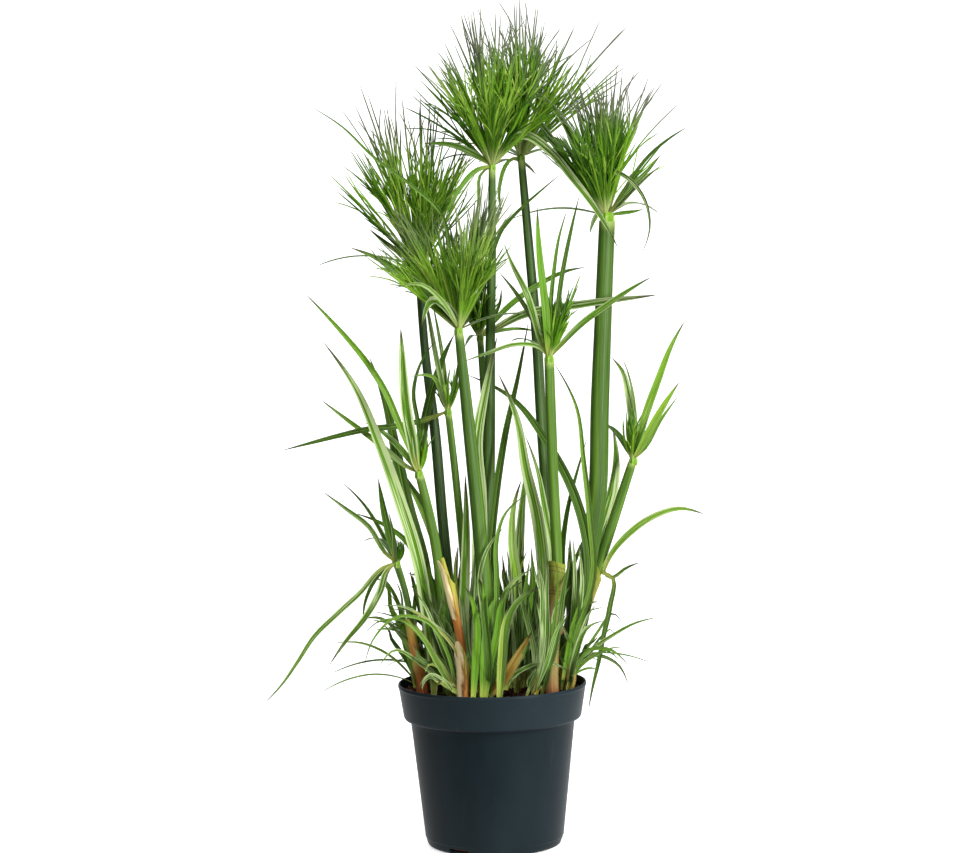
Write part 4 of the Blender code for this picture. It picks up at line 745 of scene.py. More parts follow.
def leaf_material():
    """Green leaf: pale foot, parallel veins, pale striping where it has it (partly its own, partly painted
    highlight), a dry tip.
    """
    graph = Graph("leaf")
    across, reached = graph.read("across"), graph.read("along")
    shade, stripes_and_highlight, age = graph.tone()[:3]
    fine = graph.noise(graph.fibres(30, 5))
    broad = graph.noise(graph.fibres(5, 2.2), detail=2.0)
    green = graph.ramp(graph.plus(shade, graph.sway(fine, 0.7)),
                       (0.0, (0.009, 0.034, 0.003)), (0.35, (0.040, 0.120, 0.006)),
                       (0.65, (0.100, 0.265, 0.010)), (1.0, (0.300, 0.475, 0.040)))
    from_middle = graph.off(across, 0.5)
    # Pale edges and streaks: partly the leaf's own striping, partly painted highlight.
    edge = graph.between(from_middle, 0.27, 0.42)
    streak_and_highlight = graph.between(broad, 0.50, 0.60)
    pale = graph.times(graph.math("MAXIMUM", edge, streak_and_highlight), stripes_and_highlight)
    colour = graph.cover(green, pale, 0.92, (0.500, 0.600, 0.300))
    vein = graph.between(graph.math("SINE", graph.times(across, 88.0)), 0.0, 1.0)
    colour = graph.cover(colour, vein, 0.14, (0.320, 0.460, 0.080))
    rib = graph.between(from_middle, 0.050, 0.015)
    colour = graph.cover(colour, rib, 0.45, (0.320, 0.470, 0.090))
    foot = graph.between(reached, 0.20, 0.0)
    colour = graph.cover(colour, foot, 0.6, (0.440, 0.460, 0.090))
    dry = graph.ramp(broad, (0.3, (0.230, 0.075, 0.012)), (0.55, (0.370, 0.180, 0.030)),
                     (0.75, (0.420, 0.330, 0.120)))
    colour = graph.mix(age, colour, dry)
    ends = graph.between(graph.plus(reached, graph.times(fine, 0.08)), 0.88, 1.01)
    colour = graph.cover(colour, ends, 0.88, (0.040, 0.034, 0.018))
    height = graph.plus(graph.times(vein, 0.5), graph.times(fine, 0.6))
    return graph.close(colour, 0.5, graph.bump(height, 0.0004, 0.7), 0.07, 0.14)


def ray_material():
    """Ray: pale at the hub, green along the middle, dark grey-green towards its thread-like end."""
    graph = Graph("ray")
    reached = graph.read("along")
    shade, darkness, _ = graph.tone()[:3]
    fine = graph.noise(graph.fibres(9, 7))
    green = graph.ramp(graph.plus(shade, graph.sway(fine, 0.6)),
                       (0.0, (0.014, 0.046, 0.004)), (0.35, (0.052, 0.150, 0.008)),
                       (0.65, (0.135, 0.300, 0.014)), (1.0, (0.330, 0.510, 0.070)))
    dark = graph.mix(fine, (0.028, 0.034, 0.018), (0.230, 0.240, 0.175))
    end = graph.between(graph.plus(reached, graph.sway(fine, 0.4)), 0.48, 0.78)
    colour = graph.cover(green, end, darkness, dark)
    colour = graph.cover(colour, graph.between(reached, 0.17, 0.03), 0.8, (0.480, 0.560, 0.190))
    return graph.close(colour, 0.5, None, 0.08, 0.12)


def stem_material():
    """Stem: deep green with fine and broad lengthwise lines, paler towards its foot and its hub."""
    graph = Graph("stem")
    reached = graph.read("along")
    shade, _, age = graph.tone()[:3]
    lines = graph.noise(graph.fibres(42, 6), detail=2.0)
    broad = graph.noise(graph.fibres(5, 1.6), detail=2.0)
    green = graph.ramp(graph.plus(shade, graph.sway(broad, 0.8)), (0.0, (0.007, 0.026, 0.006)),
                       (0.5, (0.042, 0.100, 0.010)), (1.0, (0.150, 0.300, 0.016)))
    pale = graph.mix(0.5, green, (0.190, 0.290, 0.070))
    colour = graph.cover(green, graph.between(lines, 0.45, 0.68), 0.6, pale)
    colour = graph.cover(colour, graph.between(reached, 0.975, 1.0), 0.6, (0.330, 0.440, 0.110))
    foot = graph.between(reached, 0.20, 0.05)
    colour = graph.cover(colour, foot, 0.45, (0.220, 0.330, 0.050))
    colour = graph.cover(colour, age, foot, (0.420, 0.150, 0.035))
    return graph.close(colour, 0.42, graph.bump(lines, 0.0003, 0.5), 0.18)


def sheath_material():
    """Dry sheath: rust-red at its foot to yellow-green at its mouth, or olive with rings, or half cream."""
    graph = Graph("sheath")
    across, reached = graph.read("across"), graph.read("along")
    cream, olive, _ = graph.tone()[:3]
    fibres = graph.noise(graph.fibres(34, 4))
    patches = graph.noise(graph.fibres(4, 5))
    place = graph.plus(reached, graph.sway(patches, 0.25))
    rust = graph.ramp(place, (0.0, (0.160, 0.030, 0.010)), (0.35, (0.330, 0.085, 0.018)),
                      (0.65, (0.480, 0.200, 0.040)), (0.85, (0.450, 0.320, 0.060)),
                      (1.0, (0.330, 0.360, 0.040)))
    green = graph.ramp(place, (0.0, (0.240, 0.070, 0.025)), (0.12, (0.270, 0.150, 0.055)),
                       (0.32, (0.270, 0.220, 0.070)), (0.52, (0.210, 0.170, 0.035)),
                       (0.75, (0.120, 0.150, 0.020)), (1.0, (0.200, 0.250, 0.025)))
    rings = 0.0
    for ring in SHEATH_RINGS:
        rings = graph.math("MAXIMUM", rings, graph.between(graph.off(reached, ring), 0.014, 0.0))
    green = graph.cover(green, rings, 0.75, (0.060, 0.045, 0.012))
    colour = graph.mix(olive, rust, green)
    side = graph.plus(across, graph.sway(patches, 0.5))
    papery = graph.mix(fibres, (0.820, 0.600, 0.290), (0.920, 0.790, 0.520))
    colour = graph.cover(colour, graph.between(side, 0.56, 0.40), cream, papery)
    seam = graph.times(graph.between(graph.off(side, 0.56), 0.06, 0.01), cream)
    colour = graph.cover(colour, seam, 0.7, (0.120, 0.075, 0.015))
    colour = graph.cover(colour, graph.between(fibres, 0.52, 0.70), 0.35, (0.600, 0.480, 0.200))
    colour = graph.cover(colour, graph.between(fibres, 0.46, 0.30), 0.5, (0.130, 0.045, 0.012))
    return graph.close(colour, 0.6, graph.bump(fibres, 0.0006, 0.7), 0.14, 0.1)


def soil_material():
    """Moist peat: dark reddish brown crumbs with a few paler fibres."""
    graph = Graph("soil")
    grain = graph.noise(graph.places(), 420.0, 5.0, 0.7)
    patches = graph.noise(graph.places(), 60.0)
    colour = graph.ramp(grain, (0.34, (0.009, 0.003, 0.002)), (0.54, (0.045, 0.013, 0.007)),
                        (0.76, (0.150, 0.048, 0.025)))
    colour = graph.cover(colour, graph.between(patches, 0.5, 0.7), 0.5, (0.075, 0.020, 0.010))
    colour = graph.mix(graph.tone()[2], colour, (0.240, 0.120, 0.055))
    return graph.close(colour, 0.95, graph.bump(grain, 0.0012, 0.8), 0.12)


def pot_material():
    """Moulded plastic: slate blue-grey with a fine grain and faint scuffs, its band a little paler."""
    graph = Graph("pot_plastic")
    grain = graph.noise(graph.places(), 1400.0, 2.0)
    clouds = graph.noise(graph.places((14, 14, 5)), detail=4.0)
    scuffs = graph.noise(graph.places((90, 90, 14)), detail=5.0, roughness=0.65)
    colour = graph.ramp(clouds, (0.3, (0.0050, 0.0088, 0.0107)), (0.7, (0.0085, 0.0148, 0.0184)))
    worn = graph.between(scuffs, 0.60, 0.80)
    colour = graph.cover(colour, worn, 0.30, (0.045, 0.060, 0.070))
    band = graph.between(graph.place_on(2), (BAND_FOOT_HEIGHT - 3) * MM, (BAND_FOOT_HEIGHT + 2) * MM)
    colour = graph.cover(colour, band, 0.35, (0.022, 0.034, 0.041))
    roughness = graph.plus(0.42, graph.times(worn, 0.15))
    return graph.close(colour, roughness, graph.bump(grain, 0.00012, 0.35), 0.05)


# Pot

def filleted(outline, steps=5):
    """An outline of radius, height and corner rounding, with its corners drawn as arcs."""
    points = []
    for slot, (radius, height, rounding) in enumerate(outline):
        corner = np.array((radius, height), dtype=float)
        if rounding == 0 or slot in (0, len(outline) - 1):
            points.append(corner)
            continue
        back = np.array(outline[slot - 1][:2]) - corner
        ahead = np.array(outline[slot + 1][:2]) - corner
        reach = min(rounding, 0.45 * np.linalg.norm(back), 0.45 * np.linalg.norm(ahead))
        start, end = corner + unit(back) * reach, corner + unit(ahead) * reach
        for share in np.linspace(0, 1, steps):
            points.append(start * (1 - share) ** 2 + 2 * corner * share * (1 - share) + end * share ** 2)
    return points


def pot_outline():
    """The pot's section, from the middle of its inner floor, over the lip and down to its underside."""
    inner_foot = BODY_FOOT_RADIUS - WALL
    slope = (BODY_TOP_RADIUS - BODY_FOOT_RADIUS) / BODY_TOP_HEIGHT
    line = BODY_FOOT_RADIUS + slope * FOOT_LINE
    lip_foot = RIM_HEIGHT - LIP_HEIGHT
    return [
        (0, FLOOR, 0), (inner_foot - FOOT_ROUNDING, FLOOR, 2), (inner_foot, FOOT_ROUNDING + 1, 3),
        (BODY_TOP_RADIUS - WALL, BODY_TOP_HEIGHT, 2), (BAND_FOOT_RADIUS - WALL, BAND_FOOT_HEIGHT + WALL, 2),
        (RIM_RADIUS - WALL, lip_foot, 1), (RIM_RADIUS - WALL + LIP_PROUD, RIM_HEIGHT, 0.7),
        (RIM_RADIUS, RIM_HEIGHT, 0.8), (RIM_RADIUS + LIP_PROUD, lip_foot, 0.8),
        (RIM_RADIUS - 0.4, lip_foot - 1.0, 0.5), (BAND_FOOT_RADIUS + 0.1, BAND_FOOT_HEIGHT + 1.5, 1.2),
        (BAND_FOOT_RADIUS - 1.2, BAND_FOOT_HEIGHT - 0.6, 0.8), (BODY_TOP_RADIUS + 0.3, BODY_TOP_HEIGHT, 1.5),
        (BODY_TOP_RADIUS - 0.8, BODY_TOP_HEIGHT - 5, 2), (line + 0.25, FOOT_LINE + 0.6, 0.4),
        (line - 0.45, FOOT_LINE - 0.4, 0.4), (BODY_FOOT_RADIUS - 0.2, FOOT_ROUNDING, 3),
        (BODY_FOOT_RADIUS - 1.6, 1.4, 2), (BODY_FOOT_RADIUS - FOOT_ROUNDING, 0, 1),
        (BODY_FOOT_RADIUS - 9, 0, 0.5), (BODY_FOOT_RADIUS - 10.5, 0.8, 0.5), (0, 0.8, 0),
    ]


def drain_cutter():
    """Blocks with rounded upper corners that cut the drain notches around the foot."""
    notches = bmesh.new()
    for index in range(DRAIN_COUNT):
        box = bmesh.ops.create_cube(notches, size=1)["verts"]
        bmesh.ops.scale(notches, vec=(DRAIN_DEPTH * MM, DRAIN_WIDTH * MM, 2 * DRAIN_HEIGHT * MM), verts=box)
        bmesh.ops.translate(notches, vec=(BODY_FOOT_RADIUS * MM, 0, 0), verts=box)
        angle = DRAIN_AZIMUTH + math.tau * index / DRAIN_COUNT
        bmesh.ops.rotate(notches, cent=(0, 0, 0), matrix=Matrix.Rotation(angle, 3, "Z"), verts=box)
    upper = [
        edge for edge in notches.edges
        if min(corner.co.z for corner in edge.verts) > 0 and edge.calc_length() < (DRAIN_DEPTH + 1) * MM
    ]
    bmesh.ops.bevel(notches, geom=upper, offset=DRAIN_ROUNDING * MM, segments=4, profile=0.5, affect="EDGES")
    return new_object("drain_cutter", take_mesh("drain_cutter", notches))


def turned_pot():
    """The pot as turned from its section, without its drain notches."""
    shape = bmesh.new()
    corners = [shape.verts.new((radius * MM, 0, height * MM)) for radius, height in filleted(pot_outline())]
    edges = [shape.edges.new(pair) for pair in zip(corners, corners[1:])]
    bmesh.ops.spin(shape, geom=corners + edges, cent=(0, 0, 0), axis=(0, 0, 1), angle=math.tau,
                   steps=POT_SIDES, use_merge=True)
    bmesh.ops.remove_doubles(shape, verts=shape.verts, dist=WELD)
    bmesh.ops.recalc_face_normals(shape, faces=shape.faces)
    return new_object("pot_turned", take_mesh("pot_turned", shape))


def make_pot(material):
    """The nursery pot with its drain notches."""
    blank, cutter = turned_pot(), drain_cutter()
    cut = blank.modifiers.new("drain", "BOOLEAN")
    cut.operation = "DIFFERENCE"
    cut.object = cutter
    graph = bpy.context.evaluated_depsgraph_get()
    final = bpy.data.meshes.new_from_object(blank.evaluated_get(graph))
    for spare in (blank, cutter):
        bpy.data.objects.remove(spare, do_unlink=True)
    final.shade_smooth()
    final.set_sharp_from_angle(angle=POT_CREASE)
    final.materials.clear()
    final.materials.append(material)
    settle(new_object("nursery_pot", final), "pot")


# Soil

def wall_radius(height):
    """The pot's inner radius at a height, less a small gap."""
    heights = (FLOOR, BODY_TOP_HEIGHT, BAND_FOOT_HEIGHT + WALL, RIM_HEIGHT)
    radii = (BODY_FOOT_RADIUS, BODY_TOP_RADIUS, BAND_FOOT_RADIUS, RIM_RADIUS)
    return float(np.interp(height, heights, radii)) - WALL - SOIL_GAP


def soil_height(x, y):
    """The height of the crumbly surface, in millimetres."""
    broad = noise.noise(Vector((x, y, 3.0)) / 21.0)
    fine = noise.noise(Vector((x, y, 9.0)) / 5.0)
    return SOIL_TOP - SOIL_DIP + SOIL_ROUGHNESS * (0.8 * broad + 0.5 * fine)


def soil_place(radius, angle, lift=0.0, height=None):
    """A point at a height, or else at a lift above the surface."""
    x, y = radius * math.cos(angle), radius * math.sin(angle)
    return np.array((x, y, soil_height(x, y) + lift if height is None else height)) * MM


def make_soil(material):
    """The peat: a lumpy disc on a plain body, with crumbs and fibres on it."""
    rng = random.Random(8)
    skin = Skin()
    top = wall_radius(SOIL_TOP)
    sections = [(SOIL_FOOT_RADIUS, FLOOR + SOIL_GAP)]
    for height in (DRAIN_HEIGHT + SOIL_GAP, BODY_TOP_HEIGHT, BAND_FOOT_HEIGHT + WALL, SOIL_TOP - 3):
        sections.append((wall_radius(height), height))
    sections += [(radius, None) for radius in np.linspace(top, 1.5, SOIL_RINGS)]
    angles = [-math.tau * side / SOIL_SIDES for side in range(SOIL_SIDES)]
    rings = [[soil_place(radius, angle, 0.0, height) for angle in angles] for radius, height in sections]
    reached = np.linspace(0, 1, len(rings) + 1)
    skin.loft(rings, [0.5] * SOIL_SIDES, reached, (0, 0, 0), soil_place(0, 0))
    for _ in range(CRUMBS):
        radius, angle = top * math.sqrt(rng.uniform(0, 0.94)), rng.uniform(0, math.tau)
        size = rng.uniform(0.6, 1.9) * (1 + rng.random() ** 6)
        add_crumb(skin, soil_place(radius, angle, size * 0.2), size * MM, rng)
    for _ in range(FIBRES):
        radius, angle = top * math.sqrt(rng.uniform(0, 0.85)), rng.uniform(0, math.tau)
        add_fibre(skin, soil_place(radius, angle, 0.5), rng)
    settle(skin.piece("potting_peat", material), "soil")


def add_crumb(skin, centre, size, rng):
    """A small irregular lump, pointed at its top."""
    turn = rng.uniform(0, math.tau)
    rings = []
    for lift in (-0.7, 0.0, 0.6):
        wide = math.sqrt(1 - lift * lift) * size
        ring = []
        for side in range(CRUMB_SIDES):
            angle = turn - math.tau * side / CRUMB_SIDES
            x = math.cos(angle) * wide * rng.uniform(0.7, 1.2)
            y = math.sin(angle) * wide * rng.uniform(0.7, 1.2)
            ring.append(centre + np.array((x, y, lift * size * rng.uniform(0.8, 1.1))))
        rings.append(ring)
    top = centre + np.array((0, 0, size * 0.9))
    skin.loft(rings, [0.5] * CRUMB_SIDES, (0.2, 0.5, 0.8), (0, 0, rng.random() ** 8), top)


def add_fibre(skin, start, rng):
    """A thin root fibre on the peat."""
    turn, length = rng.uniform(0, math.tau), rng.uniform(4, 11) * MM
    run = np.array((math.cos(turn), math.sin(turn), rng.uniform(-0.1, 0.25))) * length
    bend = np.array((-run[1], run[0], 0)) * rng.uniform(-0.2, 0.2)
    widths = ((0, 0.5, 1), (0.4, 0.7, 0.3))
    skin.ray([start, start + run / 2 + bend, start + run], widths, (0, 0, rng.uniform(0.2, 1)), stations=4)


# Plant

def seeded(node):
    """Random numbers that are a node's own."""
    return random.Random(sum(map(ord, node)))


def any_way(rng):
    """A random direction, of random length."""
    return np.array([rng.gauss(0, 1) for _ in range(3)])


def ends_in(tip, ends):
    """Whether a tip is seen at one of some places on the sheet."""
    place = sheet_place(tip)
    return any(math.dist(place, end) < END_SLACK for end in ends)


def blade_tone(tip, rng, striped=False):
    """A blade's look, by where its tip is seen or else by chance."""
    shade = min(1.0, max(0.0, rng.gauss(*LEAF_SHADE)))
    stripes_and_highlight = rng.uniform(0.5, 0.9) if rng.random() < STRIPED_AND_HIGHLIGHTED_SHARE else rng.uniform(0.08, 0.35)
    age = 0.0
    # Leaves with pale striping: partly their own, partly painted highlight.
    if striped or ends_in(tip, STRIPED_AND_HIGHLIGHTED_ENDS):
        shade, stripes_and_highlight = rng.uniform(0.25, 0.55), rng.uniform(0.8, 1.0)
    if ends_in(tip, DRY_ENDS):
        shade, stripes_and_highlight, age = 0.25, 0.2, 0.62
    if ends_in(tip, DARK_ENDS):
        shade, stripes_and_highlight = 0.2, 0.1
    if ends_in(tip, GREEN_ENDS):
        shade, stripes_and_highlight = 0.5, 0.2
    return Tone(shade, stripes_and_highlight, age)


def limb_knots(limb, start, width):
    """Knots of x, y, z and width along a limb, from a start with a width of its own."""
    rings = [(*centre, wide) for centre, wide in zip(limb.centres, limb.widths)]
    return [(*start, width), *rings, (*limb.tip, 0.0)]


def add_limb_blade(skin, limb, tone, rng, hub=None, fuller=FULLER):
    """The fine leaf along a limb of the solid, from inside its hub or from the soil."""
    start, narrowed = (limb.root, 0.9) if hub is None else (hub + (limb.root - hub) * 0.3, 0.55)
    knots = limb_knots(limb, start, limb.widths[0] * narrowed)
    ups = [limb.ups[0], *limb.ups, limb.ups[-1]]
    if ends_in(limb.tip, SLIM_ENDS):
        fuller = SLIMMEST
    elif ends_in(limb.tip, BROAD_ENDS):
        fuller = BROADEST
    skin.blade(knots, ups, tone, rng.uniform(-0.4, 0.4), fuller)


def brush_rays(rays, hub, count, focus, lengths, rng):
    """Rays of an umbel: those of the solid, and others between them, the densest in the middle."""
    made = [(limb.root, limb.centres[0], limb.tip) for limb in rays]
    aims = units(np.array([limb.tip - hub for limb in rays]))
    inward = np.clip(aims @ unit(aims.mean(axis=0)), 0.05, 1) ** focus
    for _ in range(max(0, count - len(rays))):
        one = rng.choices(range(len(rays)), weights=inward)[0]
        nearest = np.argsort(-(aims @ aims[one]))[1:6]
        other = int(nearest[rng.randrange(len(nearest))])
        share = rng.uniform(0.1, 0.9)
        length = rng.uniform(*lengths)
        aside = any_way(rng) * MM
        root, middle, tip = (first * (1 - share) + second * share
                             for first, second in zip(made[one], made[other]))
        made.append((root, hub + (middle - hub) * length + aside * 2, hub + (tip - hub) * length + aside * 6))
    return made


def add_ray(skin, hub, ray, reach, light, darkness, threads, rng):
    """One ray with the threads that part from it, green first and dark where they are far out."""
    root, middle, tip = ray
    knots = [hub + (root - hub) * 0.4, middle, tip]
    shade = min(1.0, max(0.0, rng.gauss(light, SHADE_SPREAD)))
    length = path_length(knots)
    skin.ray(knots, RAY_WIDTHS, (shade, darkness, 0), (0.0, length / reach))
    for _ in range(threads):
        begin = rng.uniform(*THREAD_BEGINS)
        start, ahead = along(knots, (begin, begin + 0.06))
        run = unit(ahead - start)
        aside = unit(np.cross(run, any_way(rng)))
        extent = (1 - begin) * length * rng.uniform(*THREAD_LENGTHS)
        turn = rng.uniform(*THREAD_TURNS)
        first = start + unit(run + aside * turn) * extent * 0.5
        bend = aside * rng.uniform(-0.1, 0.35) - np.array((0, 0, rng.uniform(-0.04, 0.16)))
        last = first + unit(run + aside * turn + bend) * extent * 0.5
        span = (begin * length / reach, (begin * length + extent) / reach)
        tone = (shade + rng.uniform(-0.3, 0.3), darkness, 0)
        skin.ray([start, first, last], THREAD_WIDTHS, tone, span, THREAD_STATIONS)


def bracts_skin(blades, hub, radius, rng):
    """The flared end of a stem, with the bracts around it."""
    skin = Skin()
    heights = np.array((-1.0, -0.8, -0.45, -0.1, 0.25, 0.5))
    flare = np.array((0.68, 0.71, 0.74, 0.74, 0.62, 0.30)) * radius
    skin.stalk(hub + np.array((0, 0, radius)) * heights[:, None], flare, 20, (0.75, 0.5, 0.0), 7, 0.08)
    for limb in blades:
        add_limb_blade(skin, limb, blade_tone(limb.tip, rng), rng, hub)
    return skin


def brush_skin(number, rays, hub, rng):
    """The rays of an umbel, with their threads."""
    skin = Skin()
    reach = max(float(np.linalg.norm(limb.tip - hub)) for limb in rays)
    forks = FORKS if number in RAY_DARKNESS else FEW_FORKS
    darkness = RAY_DARKNESS.get(number, USUAL_DARKNESS)
    light = RAY_SHADES.get(number, USUAL_SHADE)
    focus = BRUSH_FOCUS.get(number, USUAL_FOCUS)
    lengths = RAY_LENGTHS.get(number, USUAL_LENGTHS)
    for ray in brush_rays(rays, hub, BRUSH_RAYS[number], focus, lengths, rng):
        add_ray(skin, hub, ray, reach, light, darkness, rng.choice(forks), rng)
    return skin


def make_umbel(number, leaf, ray):
    """An umbel: bracts around the flared end of its stem, and its brush."""
    node = f"umbel_{number}"
    rng = random.Random(100 + number)
    limbs, rest = read_limbs(node)
    hub = np.mean(rest, axis=0)
    radius = float(np.max(np.linalg.norm(rest - hub, axis=1)))
    blades = [limb for limb in limbs if len(limb.centres) > 1]
    rays = [limb for limb in limbs if len(limb.centres) == 1]
    settle(bracts_skin(blades, hub, radius, rng).piece(f"bracts_{number}", leaf), node)
    settle(brush_skin(number, rays, hub, rng).piece(f"rays_{number}", ray), node)


def make_stem(number, material):
    """A stem through the middle of its solid."""
    knots = read_stem(f"stem_{number}")
    samples = along(knots, np.linspace(0, 1, max(10, round(path_length(knots) / STEM_STEP))))
    skin = Skin()
    skin.stalk(samples[:, :3], samples[:, 3] * STEM_SWELL, STEM_SIDES, (STEM_TONES[number], 0, 0), 3, 0.03)
    settle(skin.piece(f"green_stem_{number}", material), f"stem_{number}")


def make_leaf(node, material):
    """A long leaf that stands on the soil by itself."""
    rng = seeded(node)
    limbs, _ = read_limbs(node)
    skin = Skin()
    tone = blade_tone(limbs[0].tip, rng, slots[node] == "striped_leaf")
    add_limb_blade(skin, limbs[0], tone, rng, None, BROAD if node in BROAD_LEAVES else FULL)
    settle(skin.piece(node.replace("leaf", "long_leaf"), material), node)


def make_tuft(node, material):
    """A tuft of young leaves: those of the solid, smaller ones between them, and scales at the crown."""
    rng = seeded(node)
    limbs, rest = read_limbs(node)
    crown = np.mean(rest, axis=0)
    skin = Skin()
    light = TUFT_PALER_AND_PAINTED_LIGHT.get(node, 0.0)
    for limb in limbs:
        shade, stripes_and_highlight, age = blade_tone(limb.tip, rng)
        # painted light: the left tufts' leaves are made paler where the lamps from the right leave them
        # darker, besides their own paler green
        add_limb_blade(skin, limb, Tone(shade + light, stripes_and_highlight + light, age), rng, crown, SLIM)
    for _ in range(TUFT_EXTRAS.get(node, BACK_TUFT_EXTRAS)):
        add_young_leaf(skin, crown, limbs, rng)
    for _ in range(BASAL_SCALES):
        add_scale(skin, crown, rng)
    for depth, width, look, *route in CLUMP_BLADES.get(node, ()):
        add_drawn_blade(skin, depth, width * MM, LOOKS[look], route, rng)
    settle(skin.piece(node.replace("tuft", "young_leaves"), material), node)


def add_drawn_blade(skin, depth, width, look, route, rng):
    """A leaf whose course is given on the sheet, from its foot to its tip, at one depth."""
    points = [seen(place, depth) for place in route]
    places = knot_places(points)
    widths = width * np.minimum(1, 0.6 + 2.5 * places) * (1 - places ** BLUNTNESS)
    knots = [(*point, wide) for point, wide in zip(points, widths)]
    up = unit(np.array((rng.uniform(-0.4, 0.4), -1.0, 0.25)))
    skin.blade(knots, [up] * len(knots), look, rng.uniform(-0.3, 0.3), (1.0, 0.0))


def clears_pot(points):
    """Whether points keep inside the pot's mouth, or above its rim."""
    out = np.hypot(points[:, 0], points[:, 1]) / MM
    height = points[:, 2] / MM
    return bool(np.all((out < RIM_RADIUS - MOUTH_CLEARANCE) | (height > RIM_HEIGHT + RIM_CLEARANCE)))


def add_young_leaf(skin, crown, limbs, rng):
    """A small leaf whose course lies between two of the tuft's own."""
    places = np.linspace(0, 1, 7)
    heights = [max(limb.tip[2] - crown[2], 10 * MM) ** 2 for limb in limbs]
    for _ in range(8):
        pair = rng.choices(limbs, weights=heights, k=2)
        share, size = rng.uniform(0.2, 0.8), rng.uniform(0.55, 1.04)
        first, second = (along(limb_knots(limb, limb.root, limb.widths[0] * 0.6), places) for limb in pair)
        course = first * (1 - share) + second * share
        foot = crown + np.array((rng.uniform(-9, 9), rng.uniform(-9, 9), -2)) * MM
        course[:, :3] = foot + (course[:, :3] - crown) * size
        course[0, :3] = foot
        wander = np.array([[rng.uniform(-5, 5) for _ in range(3)] for _ in places]) * MM
        course[1:, :3] += wander[1:] * places[1:, None]
        if clears_pot(course[:, :3]):
            break
    course[:, 3] *= rng.uniform(0.5, 0.85)
    up = unit(np.array((rng.uniform(-0.6, 0.6), -1.0, 0.3)))
    skin.blade(course, [up] * len(course), blade_tone(course[-1, :3], rng), rng.uniform(-0.7, 0.7))


def add_scale(skin, crown, rng):
    """A short broad scale at a tuft's foot, cream to rust-brown."""
    turn = rng.uniform(0, math.tau)
    out = np.array((math.cos(turn), math.sin(turn), 0.0))
    length = rng.uniform(18, 46) * MM
    foot = crown + out * 3 * MM - np.array((0, 0, 4)) * MM
    lean = rng.uniform(0.12, 0.4)
    middle = foot + (out * lean + (0, 0, 1)) * length * 0.5
    tip = foot + (out * lean * 1.5 + (0, 0, 1)) * length
    knots = [(*foot, 5 * MM), (*middle, 6.5 * MM), (*tip, 0.0)]
    skin.blade(knots, [-out] * 3, (rng.uniform(0.3, 0.9), rng.uniform(0, 0.6), rng.uniform(0.55, 1.0)))


def add_sleeve(skin, knots, begin, end, proud, mouth, turn, tone, flare=SLEEVE_FLARE, grade=0.0):
    """A papery sleeve around a stem, from one height to another, with its mouth drawn out on one side.

    Its foot stands off by a flare more, and its colours start at a grade of the sheath's own.
    """
    outer = []
    for share in np.arange(SLEEVE_ROWS + 1) / SLEEVE_ROWS:
        ring = []
        for side in range(SLEEVE_SIDES):
            angle = -math.tau * side / SLEEVE_SIDES
            drawn = (0.5 + 0.5 * math.cos(angle - turn)) ** 2
            place = begin + (end - begin) * share * (1 - mouth * (1 - drawn))
            x, y, z, radius = along(knots, [place])[0]
            ripple = 0.22 * math.sin(angle * 7 + share * 3)
            out = radius + (proud + flare * (1 - share) ** 2 + ripple + 1.5 * share ** 6) * MM
            ring.append(np.array((x + math.cos(angle) * out, y + math.sin(angle) * out, z)))
        outer.append(ring)
    centre = along(knots, [begin + (end - begin) * (1 - mouth)])[0]
    lip = [place + unit((centre[:3] - place) * (1, 1, 0)) * 0.5 * MM for place in outer[-1]]
    below = [(place + low) / 2 for place, low in zip(lip, outer[-3])]
    reached = [*np.linspace(grade, 1, SLEEVE_ROWS + 1), 1.0, 0.95]
    skin.loft([*outer, lip, below], once_around(SLEEVE_SIDES), reached, tone)


def make_sheath(node, stem_node, olive, sleeves, material, leaf):
    """Papery sleeves around a stem's foot, with the leaves that they end in."""
    rng = seeded(node)
    limbs, rest = read_limbs(node)
    knots = read_stem(stem_node)
    height = (max(place[2] for place in rest) - knots[0][2]) / (knots[-1][2] - knots[0][2])
    skin = Skin()
    for begin, end, proud, mouth in sleeves:
        turn = rng.uniform(-2.4, -0.8)
        add_sleeve(skin, knots, height * begin, height * end, proud, mouth, turn, (0.0, olive, 0.0))
    settle(skin.piece(node.replace("sheath", "papery_sheath"), material), node)
    if limbs:
        blades = Skin()
        for limb in limbs:
            add_limb_blade(blades, limb, blade_tone(limb.tip, rng), rng)
        settle(blades.piece(node.replace("sheath", "sheath_leaves"), leaf), node)


def make_old_shoot(material):
    """A dead shoot: a dry stalk inside two papery scales, the lower one the wider."""
    knots = read_stem("old_shoot")
    samples = along(knots, np.linspace(0, 1, 14))
    cream = (1.0, 0.0, 0.0)
    skin = Skin()
    skin.stalk(samples[:, :3], samples[:, 3] * 0.78, STEM_SIDES, (0.0, 0.0, 0.0), 5, 0.05)
    add_sleeve(skin, knots, 0.56, 0.985, 1.3, 0.40, -2.6, cream, flare=-2.6, grade=0.7)
    add_sleeve(skin, knots, 0.0, 0.42, 0.5, 0.55, -2.0, cream, flare=0.4, grade=0.4)
    settle(skin.piece("dead_shoot", material), "old_shoot")


# Stage

def set_range(node, low, high, first, last):
    """Has a Map Range node give first for low and last for high."""
    for label, value in (("From Min", low), ("From Max", high), ("To Min", first), ("To Max", last)):
        node.inputs[label].default_value = value


def backdrop_material():
    """White, with a glow that grows from the pot backwards."""
    graph = Graph("backdrop")
    graph.close((0.8, 0.8, 0.8, 1), 0.9, None, 0.0)
    graph.shader.inputs["Emission Color"].default_value = (1, 1, 1, 1)
    glow = graph.add("ShaderNodeMapRange")
    set_range(glow, 0.0, GLOW_REACH, *FLOOR_GLOW)
    graph.feed(glow.inputs["Value"], graph.place_on(1))
    graph.feed(graph.shader.inputs["Emission Strength"], glow.outputs[0])
    return graph.material


